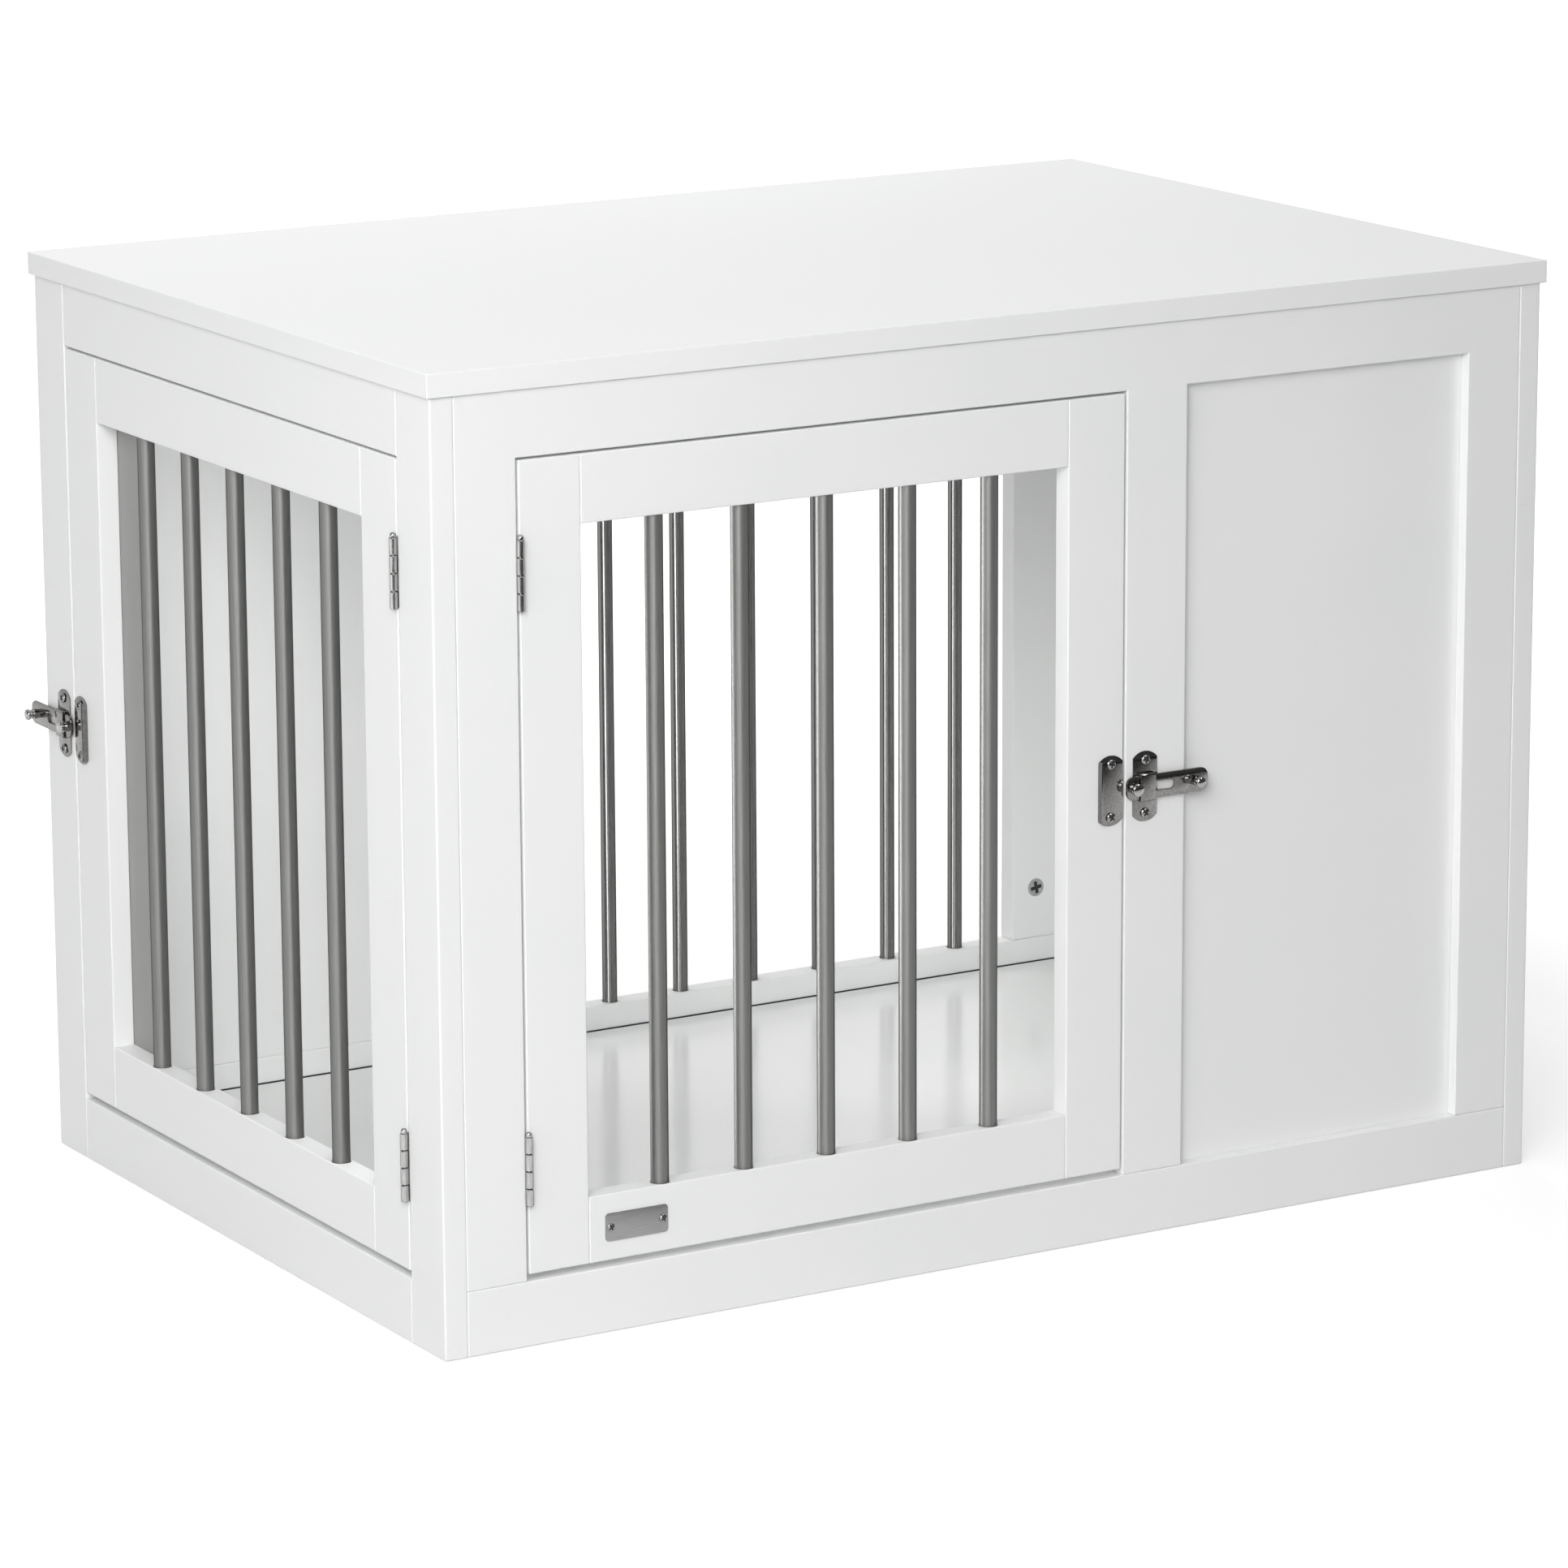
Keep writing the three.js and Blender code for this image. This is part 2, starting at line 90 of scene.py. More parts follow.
# ---------------------------------------------------------------- white paint
# The boards are sprayed with a satin white. The film is even, with a very fine orange peel and
# slight differences in sheen from one hand's breadth to the next.
WHITE = (0.86, 0.865, 0.86, 1)
WHITE_SHADE = (0.845, 0.855, 0.85, 1)
PEEL_PITCH = 900  # noise cells per metre
PEEL_DEPTH = 0.012 * MM
CLOUD_PITCH = 9
NOISE_DETAIL = 2
NOISE_LOW, NOISE_HIGH = 0.3, 0.7  # the range that the noise mostly keeps to
SATIN = (0.5, 0.58)  # roughness, at its lowest and highest


def fine_grain():
    """Node group: fine noise, with its own pitch along each axis, as a grey value and a normal."""
    group = bpy.data.node_groups.new("fine_grain", "ShaderNodeTree")
    group.interface.new_socket("Pitch", in_out="INPUT", socket_type="NodeSocketVector")
    group.interface.new_socket("Depth", in_out="INPUT", socket_type="NodeSocketFloat")
    group.interface.new_socket("Grain", in_out="OUTPUT", socket_type="NodeSocketFloat")
    group.interface.new_socket("Normal", in_out="OUTPUT", socket_type="NodeSocketVector")
    nodes, links = group.nodes, group.links
    source = nodes.new("NodeGroupInput")
    result = nodes.new("NodeGroupOutput")
    place = nodes.new("ShaderNodeTexCoord")
    scaled = nodes.new("ShaderNodeVectorMath")
    scaled.operation = "MULTIPLY"
    noise = nodes.new("ShaderNodeTexNoise")
    noise.inputs["Scale"].default_value = 1
    noise.inputs["Detail"].default_value = NOISE_DETAIL
    bump = nodes.new("ShaderNodeBump")
    links.new(place.outputs["Object"], scaled.inputs[0])
    links.new(source.outputs["Pitch"], scaled.inputs[1])
    links.new(scaled.outputs[0], noise.inputs["Vector"])
    links.new(noise.outputs["Fac"], bump.inputs["Height"])
    links.new(source.outputs["Depth"], bump.inputs["Distance"])
    links.new(noise.outputs["Fac"], result.inputs["Grain"])
    links.new(bump.outputs["Normal"], result.inputs["Normal"])
    return group


GRAIN = fine_grain()


def grained(tree, pitch, depth):
    """Places the grain group in a material."""
    node = tree.nodes.new("ShaderNodeGroup")
    node.node_tree = GRAIN
    node.inputs["Pitch"].default_value = pitch
    node.inputs["Depth"].default_value = depth
    return node


def spread(tree, value, low, high):
    """Maps a noise value, which keeps near its middle, to the range from low to high."""
    node = tree.nodes.new("ShaderNodeMapRange")
    node.inputs["From Min"].default_value = NOISE_LOW
    node.inputs["From Max"].default_value = NOISE_HIGH
    node.inputs["To Min"].default_value = low
    node.inputs["To Max"].default_value = high
    tree.links.new(value, node.inputs["Value"])
    return node.outputs["Result"]


def blended(tree, value, dark, light):
    """A colour between dark and light."""
    node = tree.nodes.new("ShaderNodeMix")
    node.data_type = "RGBA"
    node.inputs["A"].default_value = dark
    node.inputs["B"].default_value = light
    tree.links.new(value, node.inputs["Factor"])
    return node.outputs["Result"]


def material(name):
    """A new material with only a Principled shader and its output."""
    made = bpy.data.materials.new(name)
    made.use_nodes = True
    return made, made.node_tree, made.node_tree.nodes["Principled BSDF"]


def paint(name, rough, shade=WHITE_SHADE, colour=WHITE):
    """A sprayed paint. rough holds its lowest and highest roughness."""
    made, tree, shader = material(name)
    clouds = grained(tree, (CLOUD_PITCH,) * 3, 0)
    peel = grained(tree, (PEEL_PITCH,) * 3, PEEL_DEPTH)
    tone = spread(tree, clouds.outputs["Grain"], 0, 1)
    tree.links.new(blended(tree, tone, shade, colour), shader.inputs["Base Color"])
    tree.links.new(spread(tree, clouds.outputs["Grain"], *rough), shader.inputs["Roughness"])
    tree.links.new(peel.outputs["Normal"], shader.inputs["Normal"])
    return made


satin_white = paint("satin_white_paint", SATIN)


# ---------------------------------------------------------------- boards
# Every board is a planed plank or a sawn sheet with its edges eased by a stroke of sandpaper, so
# that each edge shines as a thin line and two boards that meet leave a shallow V between them.
EASE = 1 * MM
EASE_STEPS = 3
CORNER_RADIUS = 1.3 * MM
CORNER_STEPS = 5
EASED_ANGLE = math.radians(30)
SHARP_ANGLE = math.radians(38)
BOARD_SHARP_ANGLE = math.radians(60)
MERGE = 0.002 * MM  # points nearer than this are one


def node_body(node):
    return frame["nodes"][node]["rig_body"]


def piece(name, shape, finish, body, replaced=(), weighted=False):
    """Makes an object from a bmesh, in its place, riding on a body."""
    bmesh.ops.remove_doubles(shape, verts=shape.verts, dist=MERGE)
    bmesh.ops.recalc_face_normals(shape, faces=shape.faces)
    mesh = bpy.data.meshes.new(name)
    shape.to_mesh(mesh)
    shape.free()
    mesh.shade_smooth()
    mesh.set_sharp_from_angle(angle=BOARD_SHARP_ANGLE if weighted else SHARP_ANGLE)
    mesh.materials.append(finish)
    made = bpy.data.objects.new(name, mesh)
    bpy.context.scene.collection.objects.link(made)
    if weighted:
        made.modifiers.new("flat faces", "WEIGHTED_NORMAL").keep_sharp = True
    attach(made, body)
    if replaced:
        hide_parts(*replaced)
    return made


def block(shape, low, high):
    """Adds a square-edged block between two corners to a bmesh."""
    middle = (Vector(low) + Vector(high)) / 2
    size = Vector(high) - Vector(low)
    made = bmesh.ops.create_cube(shape, size=1)
    bmesh.ops.scale(shape, vec=size, verts=made["verts"])
    bmesh.ops.translate(shape, vec=middle, verts=made["verts"])
    return made["verts"]


def bevelled(shape, edges, width, steps):
    """Rounds some edges of a bmesh."""
    bmesh.ops.bevel(
        shape,
        geom=edges,
        offset=width,
        offset_type="OFFSET",
        segments=steps,
        profile=0.5,
        affect="EDGES",
        clamp_overlap=True,
        material=-1,
    )


def ease(shape, width, steps=EASE_STEPS, angle=EASED_ANGLE):
    """Rounds every edge of a bmesh that is sharper than an angle."""
    bevelled(shape, [e for e in shape.edges if e.calc_face_angle(0) > angle], width, steps)


def board(node, finish=satin_white, corner=None, easing=EASE):
    """An eased plank in place of a CAD node. The upright edge at corner's x and y is rounder."""
    shape = bmesh.new()
    block(shape, *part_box(node))
    if corner:
        edges = [
            e for e in shape.edges
            if all((v.co.xy - Vector(corner)).length < CORNER_RADIUS for v in e.verts)
        ]
        bevelled(shape, edges, CORNER_RADIUS, CORNER_STEPS)
    ease(shape, easing)
    return piece("eased_" + node, shape, finish, node_body(node), [node], weighted=True)


# ---------------------------------------------------------------- table top
# One 15 mm sheet that lies over the whole body and stands 3 mm proud of it all round. Its edges
# are only just broken, so that the joint under it is a hair line.
TOP_EASE = 0.6 * MM

board("table_top", easing=TOP_EASE)


# ---------------------------------------------------------------- side frames
# Each side has two posts that stand on the floor and a rail between them at the top and the
# bottom. The right side's frame is grooved for a thin solid panel. The posts are finger-jointed
# from shorter lengths, and two of the joints show through the paint as a hair line.
GROOVE_ROOM = 0.3 * MM  # between a panel and its groove
SEAM_WIDTH = 0.35 * MM
SEAM_DEPTH = 0.2 * MM
SEAMS = {"left_rear_post": 391 * MM, "right_front_post": 453 * MM}  # height of each joint


def solid(shape, name):
    """Makes a bare object of a closed bmesh."""
    bmesh.ops.recalc_face_normals(shape, faces=shape.faces)
    mesh = bpy.data.meshes.new(name)
    shape.to_mesh(mesh)
    shape.free()
    made = bpy.data.objects.new(name, mesh)
    bpy.context.scene.collection.objects.link(made)
    return made


def carve(target, shape):
    """Cuts a closed bmesh out of a piece."""
    cutter = solid(shape, "cutter")
    cut = target.modifiers.new("cut", "BOOLEAN")
    cut.solver = "EXACT"
    cut.object = cutter
    others = [m for m in target.modifiers if m != cut]
    for other in others:
        other.show_viewport = False
    bpy.context.view_layer.update()
    carved = bpy.data.meshes.new_from_object(target.evaluated_get(bpy.context.evaluated_depsgraph_get()))
    for other in others:
        other.show_viewport = True
    target.modifiers.remove(cut)
    target.data = carved
    bpy.data.objects.remove(cutter)


def carve_bmesh(shape, other):
    """Cuts one closed bmesh out of another."""
    target = solid(shape.copy(), "target")
    carve(target, other)
    shape.clear()
    shape.from_mesh(target.data)
    bpy.data.objects.remove(target)


def seam(post, node, height):
    """Cuts a hair line round a post."""
    low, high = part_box(node)
    shape = bmesh.new()
    block(shape, (low.x - MM, low.y - MM, height), (high.x + MM, high.y + MM, height + SEAM_WIDTH))
    core = bmesh.new()
    depth = Vector((SEAM_DEPTH, SEAM_DEPTH, -MM))
    block(core, low + depth, high - depth)
    carve_bmesh(shape, core)
    carve(post, shape)


side_frames = {}
for side, x in (("left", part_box("left_front_post")[0].x), ("right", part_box("right_front_post")[1].x)):
    front_post, rear_post = side + "_front_post", side + "_rear_post"
    side_frames[side] = [
        board(front_post, corner=(x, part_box(front_post)[0].y)),
        board(rear_post, corner=(x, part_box(rear_post)[1].y)),
        board(side + "_top_rail"),
        board(side + "_bottom_rail"),
    ]
seam(side_frames["left"][1], "left_rear_post", SEAMS["left_rear_post"])
seam(side_frames["right"][0], "right_front_post", SEAMS["right_front_post"])


def groove(panel, boards):
    """Cuts a panel's groove into the boards round it, and paints the panel."""
    low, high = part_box(panel)
    room = Vector((GROOVE_ROOM,) * 3)
    for each in boards:
        shape = bmesh.new()
        block(shape, low - room, high + room)
        carve(each, shape)
    frame["nodes"][panel].data.materials.clear()
    frame["nodes"][panel].data.materials.append(satin_white)


groove("right_panel", side_frames["right"])


# ---------------------------------------------------------------- front and back walls
# The front is one board, sawn to a comb of three legs under a top rail, that stands on a rail of
# its own. The back is the same board turned half round, with bars in its wider opening.
DOORWAY_GAP = 1.5 * MM
PANEL_TONGUE = 6 * MM  # of the panel's width, in its groove


def thickened(shape, outline, offset):
    """Adds the solid between a flat outline and its copy at an offset to a bmesh."""
    face = shape.faces.new([shape.verts.new(point) for point in outline])
    grown = bmesh.ops.extrude_face_region(shape, geom=[face])
    corners = [g for g in grown["geom"] if isinstance(g, bmesh.types.BMVert)]
    bmesh.ops.translate(shape, vec=offset, verts=corners)


def comb(node, wide, narrow, opening_top):
    """The comb board of a wall. wide and narrow are its openings' ends along x."""
    low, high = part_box(node)
    legs = sorted([*wide, *narrow])
    outline = [(low.x, high.z), (low.x, low.z)]
    for start, end in zip(legs[::2], legs[1::2]):
        outline += [(start, low.z), (start, opening_top), (end, opening_top), (end, low.z)]
    outline += [(high.x, low.z), (high.x, high.z)]
    shape = bmesh.new()
    thickened(shape, [(x, low.y, z) for x, z in outline], (0, high.y - low.y, 0))
    bmesh.ops.recalc_face_normals(shape, faces=shape.faces)
    ease(shape, EASE)
    return piece("eased_" + node, shape, satin_white, node_body(node), [node], weighted=True)


doorway = (
    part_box("front_door_left_stile")[0].x - DOORWAY_GAP,
    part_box("front_door_right_stile")[1].x + DOORWAY_GAP,
)
front_window = (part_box("front_panel")[0].x + PANEL_TONGUE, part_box("front_panel")[1].x - PANEL_TONGUE)
opening_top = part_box("front_door_top_rail")[1].z + DOORWAY_GAP
front_frame = comb("front_frame", doorway, front_window, opening_top)
back_frame = comb("back_frame", [-x for x in doorway], [-x for x in front_window], opening_top)
front_bottom_rail = board("front_bottom_rail")
back_bottom_rail = board("back_bottom_rail")
groove("front_panel", [front_frame, front_bottom_rail])
groove("back_panel", [back_frame, back_bottom_rail])


# ---------------------------------------------------------------- floor
# A thin sheet, painted with a glossier white, that lies loose on two cleats. A thin near-black
# strip along the corner between it and the back rail is painted shadow, standing in for the gap's shade.
GLOSSY = (0.13, 0.18)
# The corner strip's near-black colours below are painted shadow.
GAP_SHADOW_ROUGH = (0.5, 0.6)
GAP_SHADOW_DARK = (0.02, 0.02, 0.02, 1)
GAP_SHADOW_LIGHT = (0.035, 0.035, 0.035, 1)
GAP_SHADOW_SIZE = 0.6 * MM
GAP_SHADOW_STEPS = 2

board("floor_panel", paint("glossy_white_paint", GLOSSY))
board("front_floor_cleat")
board("back_floor_cleat")

# Painted shadow: a near-black strip, just proud of the floor along the back rail, in place of the gap's
# shade.
rail_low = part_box("back_bottom_rail")[0]
floor_low, floor_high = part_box("floor_panel")
painted_gap_shadow = paint("painted_gap_shadow", GAP_SHADOW_ROUGH, GAP_SHADOW_DARK, GAP_SHADOW_LIGHT)
shape = bmesh.new()
block(
    shape,
    (floor_low.x + MM, rail_low.y - GAP_SHADOW_SIZE, floor_high.z - GAP_SHADOW_SIZE),
    (floor_high.x - MM, rail_low.y, floor_high.z + GAP_SHADOW_SIZE),
)
ease(shape, GAP_SHADOW_SIZE / 4, GAP_SHADOW_STEPS)
piece("floor_painted_gap_shadow", shape, painted_gap_shadow, "carcass", weighted=True)


# ---------------------------------------------------------------- door frames
# Each door has two stiles over its full height and two rails glued between them. They are 15 mm
# thick, in the same white paint, and lie flush with the frame round them.
for door in ("front_door", "side_door"):
    board(door + "_left_stile")
    board(door + "_right_stile")
door_rails = {
    door: [board(door + "_top_rail"), board(door + "_bottom_rail")] for door in ("front_door", "side_door")
}


# ---------------------------------------------------------------- steel bars
# Thin steel tubes with a grey satin finish, brushed along their length. Each is let into a hole
# in the rail above and below it, and the holes' rims are countersunk by hand.
BAR_GREY = (0.20, 0.20, 0.195, 1)
BAR_GREY_LIGHT = (0.25, 0.25, 0.245, 1)
BAR_EDGE = (0.12, 0.12, 0.12, 1)  # colour at grazing angles
GREY_ROUGH = (0.46, 0.52)
GREY_STRETCH = 0.4
DRAWN_ROUGH = (0.26, 0.3)
DRAWN_STRETCH = 0.97
QUARTER_TURN = 0.25  # turns the stretched highlights upright
BRUSHED_ALONG_Z = (1800, 1800, 25)
BRUSH_DEPTH = 0.006 * MM
BAR_WALL = 1 * MM
BAR_EASE = 0.4 * MM
ROUND_STEPS = 48
HOLE_ROOM = 0.25 * MM
RIM = 0.7 * MM
RIM_REACH = 1 * MM  # how far the rim's cutter stands out of the wood
NO_AREA = 1e-13  # square metres


def brushed_metal(name, dark, light, edge, pitch, depth, rough, stretch=0):
    """A metal with a brushed grain. stretch draws the highlights out along an upright tube."""
    made, tree, shader = material(name)
    brush = grained(tree, pitch, depth)
    tone = spread(tree, brush.outputs["Grain"], 0, 1)
    tree.links.new(blended(tree, tone, dark, light), shader.inputs["Base Color"])
    tree.links.new(spread(tree, brush.outputs["Grain"], *rough), shader.inputs["Roughness"])
    tree.links.new(brush.outputs["Normal"], shader.inputs["Normal"])
    shader.inputs["Metallic"].default_value = 1
    shader.inputs["Specular Tint"].default_value = edge
    shader.inputs["Anisotropic"].default_value = stretch
    shader.inputs["Anisotropic Rotation"].default_value = QUARTER_TURN
    return made


bar_grain = (BAR_GREY, BAR_GREY_LIGHT, BAR_EDGE, BRUSHED_ALONG_Z, BRUSH_DEPTH)
grey_steel = brushed_metal("grey_steel", *bar_grain, GREY_ROUGH, GREY_STRETCH)
drawn_steel = brushed_metal("drawn_steel", *bar_grain, DRAWN_ROUGH, DRAWN_STRETCH)


def turned(shape, profile, steps=ROUND_STEPS):
    """Spins a closed profile of (radius, height) pairs about the z axis, into a bmesh."""
    verts = [shape.verts.new((radius, 0, height)) for radius, height in profile]
    edges = [shape.edges.new(pair) for pair in zip(verts, verts[1:] + verts[:1])]
    bmesh.ops.spin(
        shape,
        geom=verts + edges,
        cent=(0, 0, 0),
        axis=(0, 0, 1),
        angle=2 * math.pi,
        steps=steps,
        use_merge=True,
    )
    bmesh.ops.remove_doubles(shape, verts=shape.verts, dist=MERGE)
    flat = [f for f in shape.faces if f.calc_area() < NO_AREA]
    bmesh.ops.delete(shape, geom=flat, context="FACES_ONLY")


def bar(node, finish):
    """A tube in place of a CAD node."""
    low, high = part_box(node)
    radius = (high.x - low.x) / 2
    length = high.z - low.z
    shape = bmesh.new()
    turned(shape, [
        (radius - BAR_WALL, 0), (radius - BAR_EASE, 0), (radius, BAR_EASE),
        (radius, length - BAR_EASE), (radius - BAR_EASE, length), (radius - BAR_WALL, length),
    ])
    middle = (low + high) / 2
    bmesh.ops.translate(shape, vec=(middle.x, middle.y, low.z), verts=shape.verts)
    piece("round_" + node, shape, finish, node_body(node), [node])


def bar_hole(rail, node, surface, depth_sign):
    """Cuts one bar's hole and its countersunk rim in a rail's edge, at the height surface."""
    low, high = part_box(node)
    radius = (high.x - low.x) / 2 + HOLE_ROOM
    end = low.z if depth_sign < 0 else high.z
    depth = abs(end - surface) + HOLE_ROOM
    shape = bmesh.new()
    turned(shape, [
        (0, depth), (radius, depth), (radius, RIM),
        (radius + RIM, 0), (radius + RIM, -RIM_REACH), (0, -RIM_REACH),
    ])
    middle = (low + high) / 2
    bmesh.ops.scale(shape, vec=(1, 1, depth_sign), verts=shape.verts)
    bmesh.ops.translate(shape, vec=(middle.x, middle.y, surface), verts=shape.verts)
    carve(rail, shape)


bars = sorted(n for n in frame["nodes"] if "_bar_" in n)
for node in bars:
    bar(node, drawn_steel if node.startswith("back") else grey_steel)
for door, (top_rail, bottom_rail) in door_rails.items():
    for node in [n for n in bars if n.startswith(door)]:
        bar_hole(top_rail, node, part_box(door + "_top_rail")[0].z, 1)
        bar_hole(bottom_rail, node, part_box(door + "_bottom_rail")[1].z, -1)
for node in [n for n in bars if n.startswith("back")]:
    bar_hole(back_frame, node, opening_top, 1)
    bar_hole(back_bottom_rail, node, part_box("back_bottom_rail")[1].z, -1)


# ---------------------------------------------------------------- guard plate
# A flat steel plate, powder coated in the bars' grey, on the inside of the side door. It closes
# the gap beside the latch.
POWDER_ROUGH = (0.48, 0.55)
POWDER_DARK = (0.30, 0.30, 0.295, 1)
POWDER_LIGHT = (0.32, 0.32, 0.315, 1)
GUARD_EASE = 0.2 * MM

powder_grey = paint("powder_grey", POWDER_ROUGH, POWDER_DARK, POWDER_LIGHT)
shape = bmesh.new()
block(shape, *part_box("side_door_guard"))
ease(shape, GUARD_EASE)
piece("flat_side_door_guard", shape, powder_grey, "side_door", ["side_door_guard"], weighted=True)


# ---------------------------------------------------------------- screws
# Cross-head steel screws, driven into the wood: round heads on the latches and the plate, lower
# heads in the hinges' leaves. The cross is pressed in, and its faces are painted near black as shade.
SCREW_STEEL = (0.26, 0.26, 0.26, 1)
SCREW_STEEL_LIGHT = (0.38, 0.38, 0.38, 1)
SCREW_EDGE = (0.5, 0.5, 0.5, 1)
SCREW_PITCH = (900, 900, 900)
SCREW_DEPTH = 0.004 * MM
SCREW_ROUGH = (0.22, 0.32)
RECESS_ROUGH = (0.6, 0.7)
# The cross's near-black colours below are painted shade for the shadow inside the cut.
RECESS_DARK = (0.015, 0.015, 0.015, 1)
RECESS_LIGHT = (0.03, 0.03, 0.03, 1)
HEAD_STEPS = 5
HEAD_SIDES = 24
HEAD_RIM = 0.3  # share of the height below the dome
CROSS_SHARE = 0.68  # of the head's radius
CROSS_WIDTH = 0.2
CUT_ROOM = 0.01 * MM  # within it a face belongs to the cross

bright_steel = brushed_metal(
    "bright_steel", SCREW_STEEL, SCREW_STEEL_LIGHT, SCREW_EDGE, SCREW_PITCH, SCREW_DEPTH, SCREW_ROUGH
)
painted_shade_recess = paint("painted_shade_recess", RECESS_ROUGH, RECESS_DARK, RECESS_LIGHT)


def screw_head(radius, height, recess):
    """A domed head on z = 0 with a cross cut into it, as a bmesh."""
    shape = bmesh.new()
    rim = height * HEAD_RIM
    quarter = [math.pi / 2 * i / HEAD_STEPS for i in range(HEAD_STEPS + 1)]
    dome = [(radius * math.cos(a), rim + (height - rim) * math.sin(a)) for a in quarter]
    turned(shape, [(0, 0), (radius, 0), *dome], HEAD_SIDES)
    half, width = radius * CROSS_SHARE, radius * CROSS_WIDTH
    for x, y in ((half, width), (width, half)):
        cross = bmesh.new()
        block(cross, (-x, -y, height - recess), (x, y, height * 2))
        carve_bmesh(shape, cross)
    # The faces of the cross get the second finish, which is painted shade.
    for face in shape.faces:
        x, y, z = face.calc_center_median()
        x, y = sorted((abs(x), abs(y)))
        if x < width + CUT_ROOM and y < half + CUT_ROOM and z > height - recess - CUT_ROOM:
            face.material_index = 1
    return shape


def screw(name, place, radius, height, turn, body, finish, recess):
    """A screw whose head stands on the place's z = 0, with its cross turned and sunk."""
    shape = screw_head(radius, height, recess)
    bmesh.ops.transform(shape, matrix=place @ Matrix.Rotation(turn, 4, "Z"), verts=shape.verts)
    piece(name, shape, finish, body).data.materials.append(painted_shade_recess)


# ---------------------------------------------------------------- hinges
# Small butt hinges of bright steel. Their leaves lie on the two edges of the door's gap, and
# the four knuckles stand out of the face round a pin with a domed head.
KNUCKLES = 4
KNUCKLE_RADIUS = 2.5 * MM
KNUCKLE_GAP = 0.5 * MM
KNUCKLE_EASE = 0.4 * MM
KNUCKLE_SIDES = 32
PIN_RADIUS = 1.25 * MM
PIN_SIDES = 24
PIN_POINT = 0.6 * MM  # below the lowest knuckle, in a blunt point
PIN_HEAD_RADIUS = 2 * MM
PIN_HEAD = 3 * MM
PIN_HEAD_STEPS = 6
PIN_PLAY = 0.2 * MM
LEAF_NEAR = 0.15 * MM  # the leaf's two faces, from the middle of the gap
LEAF_FAR = 0.75 * MM
LEAF_EASE = 0.12 * MM
LEAF_STEPS = 2
TAB_CLEAR = 0.3 * MM  # from the pin's bore to the tab that joins a knuckle to its leaf
TAB_REACH = 0.1 * MM
LEAF_SCREWS = 3
LEAF_SCREW_RADIUS = 2.3 * MM
LEAF_SCREW_HEIGHT = 0.68 * MM
LEAF_SCREW_RECESS = 0.3 * MM
LEAF_SCREW_TURN = 0.7
LEAF_SCREW_PLACE = 0.55  # of the leaf's width
HINGE_DARK = (0.40, 0.40, 0.40, 1)
HINGE_LIGHT = (0.52, 0.52, 0.51, 1)
HINGE_EDGE = (0.2, 0.2, 0.2, 1)
HINGE_PITCH = (700, 700, 160)
HINGE_DEPTH = 0.006 * MM
HINGE_ROUGH = (0.14, 0.2)

hinge_steel = brushed_metal(
    "hinge_steel", HINGE_DARK, HINGE_LIGHT, HINGE_EDGE, HINGE_PITCH, HINGE_DEPTH, HINGE_ROUGH
)

# Each door's fittings are laid out along its wall: x runs along the wall, y inwards from its face.
front_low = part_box("front_frame")[0]
left_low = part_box("left_front_post")[0]
WALLS = {
    "front": Matrix.Translation((0, front_low.y, 0)),
    "side": Matrix.Translation((left_low.x, 0, 0)) @ Matrix.Rotation(-math.pi / 2, 4, "Z"),
}


def joined(shapes):
    """Puts several bmeshes into the first one."""
    first, *others = shapes
    for other in others:
        mesh = bpy.data.meshes.new("part")
        other.to_mesh(mesh)
        other.free()
        first.from_mesh(mesh)
    return first


def pin_head(z):
    """Profile of the pin's domed head, above the height z."""
    quarter = [math.pi / 2 * i / PIN_HEAD_STEPS for i in range(PIN_HEAD_STEPS + 1)]
    middle = z + PIN_HEAD - PIN_HEAD_RADIUS
    rounded = [(PIN_HEAD_RADIUS * math.cos(a), middle + PIN_HEAD_RADIUS * math.sin(a)) for a in quarter]
    return [(0, z), (PIN_HEAD_RADIUS, z), *rounded]


